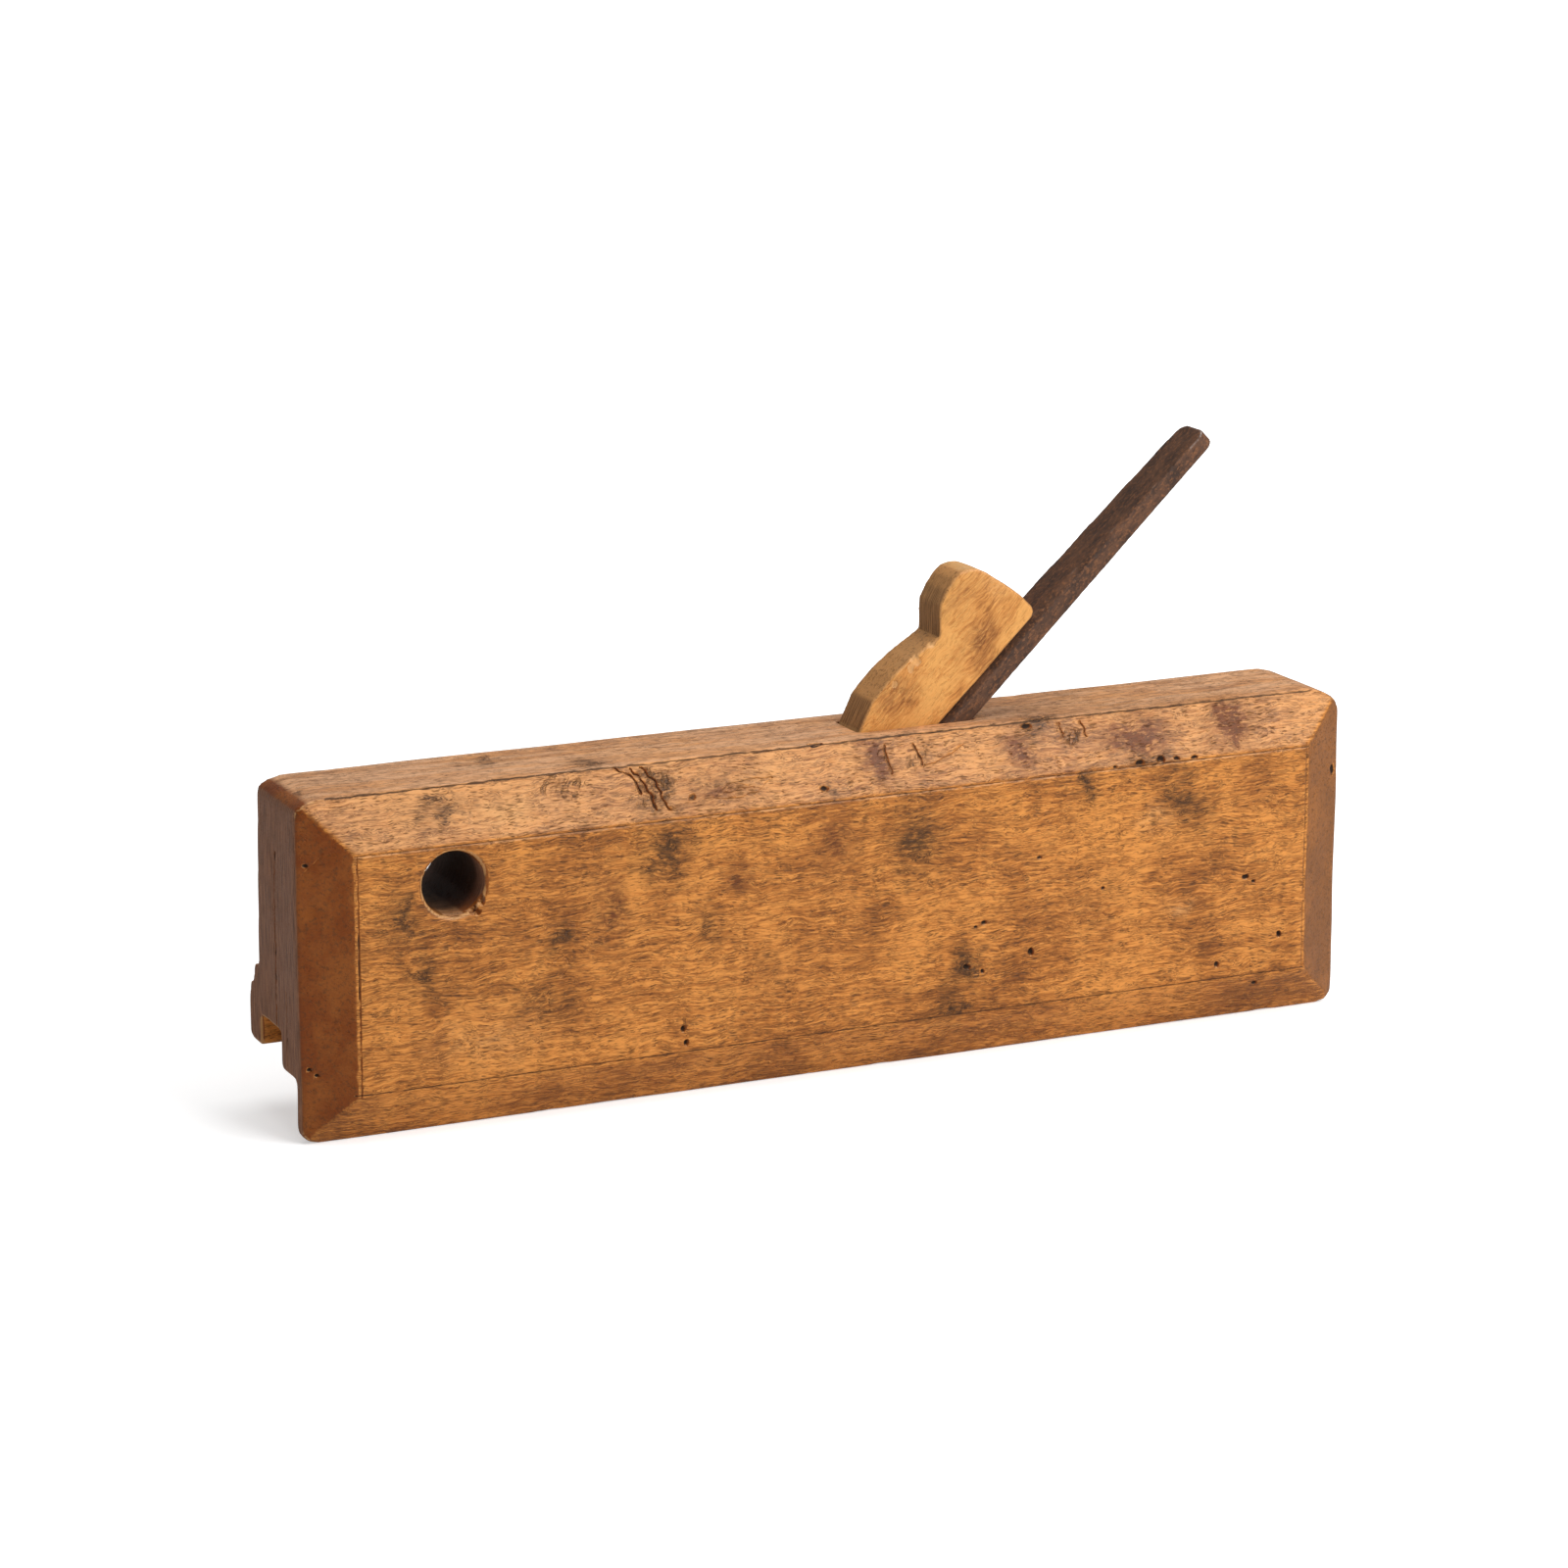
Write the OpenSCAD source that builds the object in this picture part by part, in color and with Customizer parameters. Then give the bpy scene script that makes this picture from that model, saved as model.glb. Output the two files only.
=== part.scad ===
// Wooden tonguing plane: a beech stock with an integral fence, a tanged iron
// with a notch for the tongue, and a wedge that holds the iron on its bed.
// The toe is at -X, the heel at +X, the fence side faces -Y, the sole faces -Z.

/* [Stock] */
// Length of the stock from toe to heel
stock_len = 280; // [230:1:340]
// Height of the stock from the bottom of the fence to the top
stock_h = 83.5; // [76:0.5:101]
// Thickness of the grip at the top
grip_top_t = 33; // [31:0.5:40]
// Thickness of the grip where it meets the upper step
grip_base_t = 35.9; // [34:0.1:42]
// Length of the rounding on the toe's top edge
toe_round_x = 8; // [2:0.5:14]
// Depth of the rounding on the toe's top edge
toe_round_z = 3.7; // [1:0.1:8]
// Length of the rounding on the heel's top edge
heel_round_x = 11; // [2:0.5:16]
// Depth of the rounding on the heel's top edge
heel_round_z = 7; // [1:0.1:12]
// Radius of the bottom corners of the fence
foot_r = 4; // [1:0.5:6]

/* [Steps on the throat side] */
// How far the upper step stands out from the grip
step_upper_out = 3.4; // [1:0.1:6]
// Height of the upper step's top edge above the shoulder
step_upper_up = 21.4; // [19:0.1:30]
// Slope of the upper step's side, outwards over its height
step_upper_lean = 0.8; // [0:0.1:2]
// How far the lower step stands out from the upper step
step_lower_out = 2.3; // [1:0.1:6]
// Height of the lower step's top edge above the shoulder
step_lower_up = 16.4; // [12:0.1:18]
// Depth of the lower step's bulge
bulge = 1; // [0:0.1:2]
// Rounding under the outer runner
runner_round = 2; // [0.5:0.1:3]

/* [Sole and fence] */
// Depth that the fence hangs below the shoulder
fence_drop = 14.8; // [10:0.1:20]
// Thickness of the fence above its bevel
fence_t = 10.2; // [9.5:0.1:14]
// Width of the inner shoulder, from the fence to the tongue groove
shoulder_w = 10.2; // [6:0.1:12]
// Width of the tongue that the plane cuts
tongue_w = 14.1; // [8:0.1:14.4]
// Depth of the tongue groove above the inner shoulder
tongue_d = 9.2; // [5:0.1:10]
// How much higher the outer runner sits than the inner shoulder
runner_lift = 1.7; // [0:0.1:2.5]

/* [Face bevels] */
// Depth of the bevels round the fence-side face
bevel_depth = 6.6; // [2:0.1:7]
// Width of the bevel along the top
bevel_top_w = 13; // [4:0.5:18]
// Width of the bevel along the bottom
bevel_bottom_w = 12; // [4:0.5:14]
// Width of the bevels at the toe and the heel
bevel_end_w = 12.7; // [4:0.1:20]

/* [Hanging hole] */
// Diameter of the hanging hole
hole_d = 15.3; // [6:0.1:18]
// Distance from the toe to the hole's centre
hole_from_toe = 37; // [30:0.5:60]
// Distance from the top of the stock down to the hole's centre
hole_below_top = 22.6; // [14:0.1:26]

/* [Mortise and throat] */
// Pitch of the bed from the sole, in degrees
bed_pitch = 44; // [42:0.5:50]
// Distance from the toe to the mouth's rear lip on the sole
mouth_from_toe = 108.5; // [95:0.5:125]
// Thickness of wood between the fence-side face and the mortise
near_cheek = 13.3; // [12:0.1:15]
// Width of the mortise
mortise_w = 12.2; // [10:0.1:14]
// Opening of the mortise for the wedge at the top of the stock
wedge_room = 22.8; // [19:0.1:26]
// Depth below the top at which the mortise narrows to the wedge's tip
wedge_reach = 56.5; // [50:0.5:60]
// Gap in front of the cutting edge for the shaving
mouth_gap = 1.8; // [0.5:0.1:5]
// Height of the straight wear above the shoulder
wear_h = 10; // [6:0.5:14]
// How high the throat opens above the shoulder at the bed
throat_up = 42; // [38:0.5:46]
// Small radius of the coned scoop, inside the throat
scoop_r_in = 9; // [4:0.5:12]
// Large radius of the coned scoop, at the outside
scoop_r_out = 19; // [13:0.5:22]

/* [Iron] */
// Thickness of the iron from the blade to the top of the stock
iron_t = 6.1; // [4:0.1:8]
// Thickness of the iron at its top end
iron_top_t = 4.1; // [3:0.1:4]
// Length of the iron above the top of the stock, along the bed
tang_out = 92.3; // [60:0.5:120]
// Length over which the tang thins towards its top end
tang_taper_len = 65; // [20:1:90]
// Chamfer along the front arris on the fence side
tang_chamfer = 1.8; // [0.5:0.1:3]
// Corner radius on the top end of the tang
tang_corner = 3; // [0.5:0.1:4]
// Straight length of the wide blade on its outer edge
blade_outer_len = 31; // [24:0.5:33]
// Length of the blade to the top of its shoulders
blade_len = 50; // [46:0.5:51]
// Length of the notch that leaves the tongue
notch_len = 23.5; // [21:0.5:26]
// Grinding angle of the cutting edge, in degrees
grind = 30; // [25:1:35]
// How far the cutting edge is drawn back above the sole
edge_back = 0.1; // [0.05:0.05:0.5]

/* [Wedge] */
// Height of the wedge's knob above the top of the stock
head_up = 37.6; // [32:0.2:44]
// Height of the knob's back corner above the top of the stock
head_back_up = 26.8; // [24:0.2:30]
// Height of the notch under the knob above the top of the stock
head_notch_up = 21.3; // [18:0.1:23]
// Length of the knob from the notch to its back corner
head_len = 25.7; // [22:0.1:28]
// Width of the wedge's blunt tip, along the plane
tip_w = 3.9; // [2:0.1:7]

/* [Clearances] */
// Gap between the iron and its bed
bed_gap = 0.1; // [0.05:0.05:0.3]
// Gap between the wedge and the iron
wedge_gap = 0.1; // [0.05:0.05:0.3]
// Gap between the wedge and the mortise's front wall
front_gap = 0.15; // [0.05:0.05:0.3]
// Side gap between the tang or the wedge and the mortise
side_gap = 0.1; // [0.05:0.05:0.3]
// Gap between the iron's inner edge and the fence's face
edge_gap = 0.1; // [0.05:0.05:0.5]
// Relief of the throat's inner wall behind the fence's face
throat_relief = 0.5; // [0.4:0.1:1]

/* [Hidden] */
$fn = 48;
wood = [0.72, 0.42, 0.19];
wedge_wood = [0.78, 0.50, 0.22];
rust = [0.20, 0.13, 0.10];
eps = 1;

// heights
sole_z = fence_drop;
step_upper_z = sole_z + step_upper_up;
step_lower_z = sole_z + step_lower_up;
runner_z = sole_z + runner_lift;
groove_z = sole_z + tongue_d;
throat_z = sole_z + throat_up;

// widths across the plane, from the fence-side face
groove_y0 = fence_t + shoulder_w;
groove_y1 = groove_y0 + tongue_w;
upper_y = grip_base_t + step_upper_out;
lower_y = upper_y + step_upper_lean + step_lower_out;
body_w = lower_y + bulge;
mortise_y0 = near_cheek;
mortise_y1 = near_cheek + mortise_w;
tang_y0 = mortise_y0 + side_gap;
tang_y1 = mortise_y1 - side_gap;
throat_y0 = fence_t - throat_relief;
blade_y0 = fence_t + edge_gap;
blade_y1 = body_w - 0.2;

// places along the plane
function bed_x(z) = mouth_from_toe + (z - sole_z) / tan(bed_pitch);
iron_dx = (iron_t + bed_gap) / sin(bed_pitch);
front_pitch = atan(1 / (1 / tan(bed_pitch) - (wedge_room - tip_w) / wedge_reach));
front_top_x = bed_x(stock_h) - iron_dx - wedge_room;
function front_x(z) = front_top_x - (stock_h - z) / tan(front_pitch);
mouth_front_x = mouth_from_toe - iron_dx - mouth_gap;
wear_top_x = mouth_front_x + wear_h * tan(12);
eye_x = (wear_top_x + front_x(throat_z)) / 2;
eye_z = sole_z + wear_h + (throat_up - wear_h) / 2;

// along the bed (s) and square to it (n), from the mouth's rear lip
function along(z, n) = (z - sole_z - n * cos(bed_pitch)) / sin(bed_pitch);
iron_front = bed_gap + iron_t;
s_edge = along(sole_z + edge_back, iron_front);
s_edge_outer = along(runner_z + edge_back, iron_front);
s_stock_top = along(stock_h, 0);
s_end = s_stock_top + tang_out;
s_outer = s_edge + blade_outer_len;
s_shoulder = s_edge + blade_len;
s_notch = s_edge + notch_len;

// points round part of an ellipse
function arc(cx, cy, rx, ry, a0, a1, n) =
  [for (i = [0:n]) let (a = a0 + (a1 - a0) * i / n) [cx + rx * cos(a), cy + ry * sin(a)]];

// puts the plane's own corner-based sizes on the middle of its footprint
module on_centre() {
  translate([-stock_len / 2, -body_w / 2, 0]) children();
}

// a profile drawn along and up the plane, given a thickness across it
module across(y0, y1) {
  translate([0, y1, 0]) rotate([90, 0, 0]) linear_extrude(height = y1 - y0) children();
}

// a frame that lies on the bed, with X up the bed and Z square to it
module on_bed() {
  translate([mouth_from_toe, 0, sole_z]) rotate([0, -bed_pitch, 0]) children();
}

module stock_section() {
  polygon(concat(
    [[bevel_depth, 0], [0, bevel_bottom_w], [0, stock_h - bevel_top_w], [bevel_depth, stock_h]],
    [[grip_top_t, stock_h], [grip_base_t, step_upper_z + 1.5]],
    [[grip_base_t + 0.5, step_upper_z], [upper_y - 0.4, step_upper_z], [upper_y, step_upper_z - 0.6]],
    [[upper_y + step_upper_lean, step_lower_z + 0.4], [upper_y + step_upper_lean + 0.4, step_lower_z]],
    [[lower_y - 0.4, step_lower_z], [lower_y, step_lower_z - 0.6]],
    [[body_w, (step_lower_z + runner_z) / 2 + 1], [body_w, runner_z + runner_round + 0.8]],
    arc(body_w - runner_round, runner_z + runner_round, runner_round, runner_round, 0, -90, 4),
    [[groove_y1 + 0.6, runner_z], [groove_y1, runner_z + 0.6], [groove_y1, groove_z - 0.5]],
    [[groove_y1 - 0.5, groove_z], [groove_y0 + 0.5, groove_z], [groove_y0, groove_z - 0.5]],
    [[groove_y0, sole_z + 0.6], [groove_y0 - 0.6, sole_z], [fence_t, sole_z], [fence_t, 0]]
  ));
}

module stock_outline() {
  polygon(concat(
    arc(foot_r, foot_r, foot_r, foot_r, 180, 270, 6),
    arc(stock_len - foot_r, foot_r, foot_r, foot_r, 270, 360, 6),
    arc(stock_len - heel_round_x, stock_h - heel_round_z, heel_round_x, heel_round_z, 0, 90, 8),
    arc(toe_round_x, stock_h - toe_round_z, toe_round_x, toe_round_z, 90, 180, 6)
  ));
}

// the slope that runs off the face at one end
module end_bevel() {
  over = 0.3;
  linear_extrude(height = 3 * stock_h, center = true) polygon([
    [-over * bevel_end_w, bevel_depth * (1 + over)],
    [bevel_end_w * (1 + over), -over * bevel_depth],
    [-over * bevel_end_w, -over * bevel_depth]
  ]);
}

module mortise() {
  across(mortise_y0, mortise_y1) polygon([
    [bed_x(throat_z - eps), throat_z - eps],
    [bed_x(stock_h + eps), stock_h + eps],
    [front_x(stock_h + eps), stock_h + eps],
    [front_x(sole_z + wear_h), sole_z + wear_h],
    [bed_x(sole_z + wear_h), sole_z + wear_h]
  ]);
}

// everything in front of the bed, from the sole up to the throat's roof
module throat_outline() {
  polygon(concat(
    [[mouth_from_toe, sole_z], [bed_x(throat_z), throat_z], [front_x(throat_z), throat_z]],
    arc(front_x(throat_z), sole_z + wear_h, front_x(throat_z) - wear_top_x, throat_up - wear_h, 100, 180, 10),
    [[mouth_front_x, sole_z]]
  ));
}

// opens the throat through the sole
module mouth_outline() {
  inside = 2;
  polygon([
    [mouth_front_x, sole_z - eps], [mouth_from_toe, sole_z - eps], [mouth_from_toe, sole_z + inside],
    [mouth_front_x + inside, sole_z + inside], [mouth_front_x, sole_z]
  ]);
}

// stops just in front of the corner where the bed meets the roof, so that no two cuts share an edge
module scoop() {
  back_x = bed_x(throat_z) - 0.02;
  intersection() {
    translate([eye_x, mortise_y0 + 4, eye_z]) rotate([-90, 0, 0])
      cylinder(h = body_w - mortise_y0 - 4 + eps, r1 = scoop_r_in, r2 = scoop_r_out);
    across(0, body_w + 2 * eps) polygon([
      [bed_x(runner_z + 5), runner_z + 5],
      [back_x, throat_z],
      [back_x, 2 * stock_h],
      [-stock_len, 2 * stock_h],
      [-stock_len, runner_z + 5]
    ]);
  }
}

module stock() {
  color(wood) on_centre() difference() {
    intersection() {
      rotate([90, 0, 90]) linear_extrude(height = stock_len) stock_section();
      across(-eps, body_w + eps) stock_outline();
    }
    end_bevel();
    translate([stock_len, 0, 0]) mirror([1, 0, 0]) end_bevel();
    mortise();
    across(throat_y0, body_w + eps) throat_outline();
    across(fence_t, body_w + 2 * eps) mouth_outline();
    scoop();
    translate([hole_from_toe, -eps, stock_h - hole_below_top]) rotate([-90, 0, 0])
      cylinder(h = body_w + 2 * eps, d = hole_d, $fn = 72);
  }
}

module tang_section() {
  polygon([
    [tang_y0, bed_gap], [tang_y1, bed_gap], [tang_y1, iron_front],
    [tang_y0 + tang_chamfer, iron_front], [tang_y0, iron_front - tang_chamfer]
  ]);
}

// the tang, drawn lying on the bed, thinned towards its struck end
module tang() {
  mid_y = (tang_y0 + tang_y1) / 2;
  half = (tang_y1 - tang_y0) / 2;
  intersection() {
    difference() {
      translate([s_shoulder - 6, 0, 0]) rotate([90, 0, 90]) linear_extrude(height = s_end - s_shoulder + 6) tang_section();
      across(tang_y0 - eps, tang_y1 + eps) polygon([
        [s_end - tang_taper_len, iron_front], [s_end, bed_gap + iron_top_t],
        [s_end + eps, bed_gap + iron_top_t - eps], [s_end + eps, iron_front + eps],
        [s_end - tang_taper_len, iron_front + eps]
      ]);
    }
    linear_extrude(height = 4 * iron_t, center = true) polygon(concat(
      [[s_shoulder - 7, mid_y - half - eps], [s_shoulder - 7, mid_y + half + eps], [s_end - tang_corner, mid_y + half + eps]],
      arc(s_end - tang_corner, mid_y + half - tang_corner, tang_corner, tang_corner, 90, 0, 5),
      arc(s_end - tang_corner, mid_y - half + tang_corner, tang_corner, tang_corner, 0, -90, 5),
      [[s_end - tang_corner, mid_y - half - eps]]
    ));
  }
}

// the wide blade, with the notch for the tongue and its ground edge
module blade() {
  far_mid = (blade_y1 + tang_y1) / 2;
  difference() {
    translate([0, 0, bed_gap]) linear_extrude(height = iron_t) polygon([
      [s_edge - 2, blade_y0], [s_outer + 6, blade_y0], [s_outer + 12, tang_y0], [s_shoulder, tang_y0],
      [s_shoulder, tang_y1], [s_shoulder - 5, tang_y1 + 1], [s_outer + 9, far_mid], [s_outer, blade_y1], [s_edge - 2, blade_y1]
    ]);
    translate([s_edge - 3, groove_y0 + 0.3, -eps]) cube([notch_len + 3, tongue_w - 0.6, iron_front + 2 * eps]);
    ground(s_edge, 0, groove_y0 + 1);
    ground(s_edge_outer, groove_y0 + 1, body_w + eps);
  }
}

// what the grinding takes off behind one cutting edge
module ground(s, y0, y1) {
  back = (iron_front + eps) / tan(grind);
  across(y0, y1) polygon([
    [s, iron_front], [s, iron_front + eps], [s - 30, iron_front + eps],
    [s - 30, -eps], [s + back, -eps]
  ]);
}

module iron() {
  color(rust) on_centre() on_bed() union() {
    blade();
    tang();
  }
}

// the wedge's head and body, drawn along and up the plane
module wedge_outline() {
  function rear_x(z) = bed_x(z) - (iron_front + wedge_gap) / sin(bed_pitch);
  z0 = stock_h;
  front_run = front_gap / sin(front_pitch);
  room = wedge_room - wedge_gap / sin(bed_pitch) - front_run;
  tip_z = z0 - (room - tip_w) / (1 / tan(bed_pitch) - 1 / tan(front_pitch));
  front_foot = front_x(z0) + front_run;
  corner_x = rear_x(z0 + head_back_up - 2.9);
  notch_x = corner_x - head_len;
  knob_h = head_up - head_notch_up;
  // rounded shoulder from the stock up to the notch, then the knob, as shares of the head's own sizes
  shoulder_pts = [[0.16, 0.33], [0.39, 0.58], [0.6, 0.75], [0.8, 0.88], [1, 1]];
  knob_pts = [[0.005, 0.06], [0, 0.3], [0.005, 0.48], [0.075, 0.7], [0.16, 0.88], [0.23, 0.965], [0.31, 1], [0.4, 0.995]];
  crown_pts = [[0.5, 0.9], [0.6, 0.74], [0.7, 0.59], [0.8, 0.42], [0.9, 0.23]];
  polygon(concat(
    [[front_x(tip_z) + front_run, tip_z], [front_foot, z0]],
    [for (p = shoulder_pts) [front_foot + p[0] * (notch_x - front_foot), z0 + p[1] * head_notch_up]],
    [for (p = knob_pts) [notch_x + p[0] * head_len, z0 + head_notch_up + p[1] * knob_h]],
    [for (p = crown_pts) [notch_x + p[0] * head_len, z0 + head_back_up + p[1] * (head_up - head_back_up)]],
    [[corner_x, z0 + head_back_up], [corner_x + 0.5, z0 + head_back_up - 1.3], [corner_x, z0 + head_back_up - 2.9]],
    [[rear_x(tip_z - 1), tip_z - 1]]
  ));
}

module wedge() {
  color(wedge_wood) on_centre() across(tang_y0, tang_y1) wedge_outline();
}

stock();
iron();
wedge();
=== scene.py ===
import logging
import math
from collections.abc import Callable, Iterator, Sequence
from dataclasses import dataclass, field
from enum import Enum

import bmesh
import bpy
import numpy as np
from mathutils import Matrix, Vector
from mathutils.bvhtree import BVHTree


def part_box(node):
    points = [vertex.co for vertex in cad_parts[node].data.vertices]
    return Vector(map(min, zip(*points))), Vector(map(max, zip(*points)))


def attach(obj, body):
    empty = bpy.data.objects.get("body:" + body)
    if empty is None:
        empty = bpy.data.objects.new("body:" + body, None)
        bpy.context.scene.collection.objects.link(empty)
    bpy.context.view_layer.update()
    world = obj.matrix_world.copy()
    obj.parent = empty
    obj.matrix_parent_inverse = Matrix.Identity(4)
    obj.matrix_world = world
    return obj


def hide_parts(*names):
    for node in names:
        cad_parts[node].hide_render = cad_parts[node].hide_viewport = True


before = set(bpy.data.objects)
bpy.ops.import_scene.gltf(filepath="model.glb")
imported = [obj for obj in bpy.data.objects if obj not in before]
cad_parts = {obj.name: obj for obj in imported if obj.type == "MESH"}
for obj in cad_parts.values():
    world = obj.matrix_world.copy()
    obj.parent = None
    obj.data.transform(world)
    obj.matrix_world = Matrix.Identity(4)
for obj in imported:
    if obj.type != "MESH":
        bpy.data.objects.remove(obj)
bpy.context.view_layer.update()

LOG = logging.getLogger("tonguing_plane")
MM = 0.001
STOCK_LOW, STOCK_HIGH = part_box("stock")
CORNER = np.array([STOCK_LOW.x, STOCK_LOW.y, STOCK_LOW.z])
LENGTH = (STOCK_HIGH.x - STOCK_LOW.x) / MM
WIDTH = (STOCK_HIGH.y - STOCK_LOW.y) / MM
HEIGHT = (STOCK_HIGH.z - STOCK_LOW.z) / MM
# Sizes are in millimetres from the toe, the fence side and the bottom, and angles in degrees.
BED_PITCH = 44.0
BEVEL_TOP = 13.0
BEVEL_BOTTOM = 12.0
BEVEL_END = 12.7
CRACK_LEAN = 62.0
MARK_MARGIN = 1.5
# How squarely a face looks one way, from 0 to 1, to count as a side, bevel, end, top or slope.
SIDE_TURN = 0.35
BEVEL_TURN = (0.22, 0.38)
END_TURN = (0.72, 0.92)
TOP_TURN = (0.80, 0.95)
SLOPE_TURN = (0.22, 0.42)

Point2 = tuple[float, float]
Point3 = tuple[float, float, float]
Colour = tuple[float, float, float]
Socket = bpy.types.NodeSocket


def smooth_step(low: float, high: float, values: np.ndarray) -> np.ndarray:
    """Eases values from 0 at low to 1 at high.

    Args:
        low: Where the step starts.
        high: Where the step ends.
        values: The values to ease.

    Returns:
        The eased values, from 0 to 1.
    """
    t = np.clip((values - low) / (high - low), 0.0, 1.0)
    return t * t * (3.0 - 2.0 * t)


def swell(points: np.ndarray, wavelength: float, seed: int, waves: int = 14) -> np.ndarray:
    """A gentle, seeded unevenness from a few crossing waves.

    Args:
        points: Places in millimetres, one row each.
        wavelength: Typical distance between crests, in millimetres.
        seed: Chooses the pattern.
        waves: How many waves cross.

    Returns:
        One value per point, from about -1 to 1.
    """
    rng = np.random.default_rng(seed)
    total = np.zeros(len(points))
    for _ in range(waves):
        direction = rng.normal(size=3)
        direction /= np.linalg.norm(direction)
        pace = 2.0 * math.pi / (wavelength * rng.uniform(0.6, 1.7))
        total += np.sin(points @ direction * pace + rng.uniform(0.0, 2.0 * math.pi))
    return total * math.sqrt(2.0 / waves) * 0.6


class Side(Enum):
    """A side of the stock: its two measuring axes, the axis it faces along, and which way."""

    FACE = (0, 2, 1, -1)
    STEPS = (0, 2, 1, 1)
    TOP = (0, 1, 2, 1)
    TOE = (1, 2, 0, -1)
    HEEL = (1, 2, 0, 1)

    def flat(self, points: np.ndarray) -> np.ndarray:
        """The two measured coordinates of each point on this side."""
        return points[:, list(self.value[:2])]

    def shows(self, points: np.ndarray, facing: np.ndarray, reach: float) -> np.ndarray:
        """Tells which points lie on this side.

        Args:
            points: Places in millimetres.
            facing: The way the surface faces at each place.
            reach: How deep the side's bevels and steps go, in millimetres.

        Returns:
            True where the point belongs to the side.
        """
        axis, way = self.value[2], self.value[3]
        span = (LENGTH, WIDTH, HEIGHT)[axis]
        depth = points[:, axis] if way < 0 else span - points[:, axis]
        return (facing[:, axis] * way > SIDE_TURN) & (depth < reach)


@dataclass(frozen=True)
class Scar:
    """A scribed line, scratch or crack that follows a line across one side."""

    side: Side
    line: tuple[Point2, ...]
    width: float = 0.45
    depth: float = 0.3
    dark: float = 1.0
    waver: float = 0.0

    def span(self) -> tuple[np.ndarray, np.ndarray]:
        """The lowest and the highest corner of the scar on its side."""
        return np.min(self.line, axis=0), np.max(self.line, axis=0)

    def distance(self, points: np.ndarray) -> np.ndarray:
        """How far each point is from the scar's line, seen square to its side.

        Args:
            points: Places in millimetres.

        Returns:
            One distance per point, in millimetres.
        """
        flat = self.side.flat(points)
        if self.waver:
            flat = flat + self.waver * np.stack([swell(points, 2.6, 31), swell(points, 3.4, 37)], axis=1)
        nearest = np.full(len(flat), 1e9)
        for start, end in zip(self.line, self.line[1:]):
            a, run = np.array(start), np.array(end) - np.array(start)
            along = np.clip((flat - a) @ run / (run @ run), 0.0, 1.0)
            gap = flat - a - along[:, None] * run
            nearest = np.minimum(nearest, np.hypot(gap[:, 0], gap[:, 1]))
        return nearest

    def shape(self, points: np.ndarray) -> np.ndarray:
        """How much of the scar's depth each point takes, from 0 to 1."""
        wander = 1.0 + 0.35 * swell(points, 2.5, 17)
        return np.clip(1.0 - (self.distance(points) / (0.5 * self.width * wander)) ** 2, 0.0, 1.0)


@dataclass(frozen=True)
class Pit:
    """A wormhole, dent or bruise pressed into one side."""

    side: Side
    centre: Point2
    radii: Point2
    depth: float = 0.6
    dark: float = 1.0
    tilt: float = 0.0

    def span(self) -> tuple[np.ndarray, np.ndarray]:
        """The lowest and the highest corner of the pit on its side."""
        return np.array(self.centre) - max(self.radii), np.array(self.centre) + max(self.radii)

    def distance(self, points: np.ndarray) -> np.ndarray:
        """How far each point is outside the pit's rim, in millimetres."""
        return (self._share(points) - 1.0) * min(self.radii)

    def shape(self, points: np.ndarray) -> np.ndarray:
        """How much of the pit's depth each point takes, from 0 to 1."""
        ragged = 1.0 + 0.18 * swell(points, 1.6, 23)
        return np.clip(1.0 - (self._share(points) / ragged) ** 2, 0.0, 1.0)

    def _share(self, points: np.ndarray) -> np.ndarray:
        """Each point's distance from the centre, as a share of the radii.

        Args:
            points: Places in millimetres.

        Returns:
            One share per point, 1 at the rim.
        """
        flat = self.side.flat(points) - np.array(self.centre)
        turn = math.radians(self.tilt)
        u = flat[:, 0] * math.cos(turn) + flat[:, 1] * math.sin(turn)
        v = flat[:, 1] * math.cos(turn) - flat[:, 0] * math.sin(turn)
        return np.hypot(u / self.radii[0], v / self.radii[1])


Mark = Scar | Pit


def around(
    marks: Sequence[Mark], points: np.ndarray, facing: np.ndarray, reach: float = 8.0
) -> Iterator[tuple[Mark, np.ndarray]]:
    """Finds the points round each mark, on the mark's own side.

    Args:
        marks: The marks.
        points: Places in millimetres.
        facing: The way the surface faces at each place.
        reach: How deep a side's bevels and steps go, in millimetres.

    Yields:
        Each mark with the numbers of its points.
    """
    for side in Side:
        there = np.nonzero(side.shows(points, facing, reach))[0]
        flat = side.flat(points[there])
        for mark in marks:
            if mark.side is side:
                low, high = mark.span()
                close = ((flat > low - MARK_MARGIN) & (flat < high + MARK_MARGIN)).all(axis=1)
                yield mark, there[close]


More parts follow.
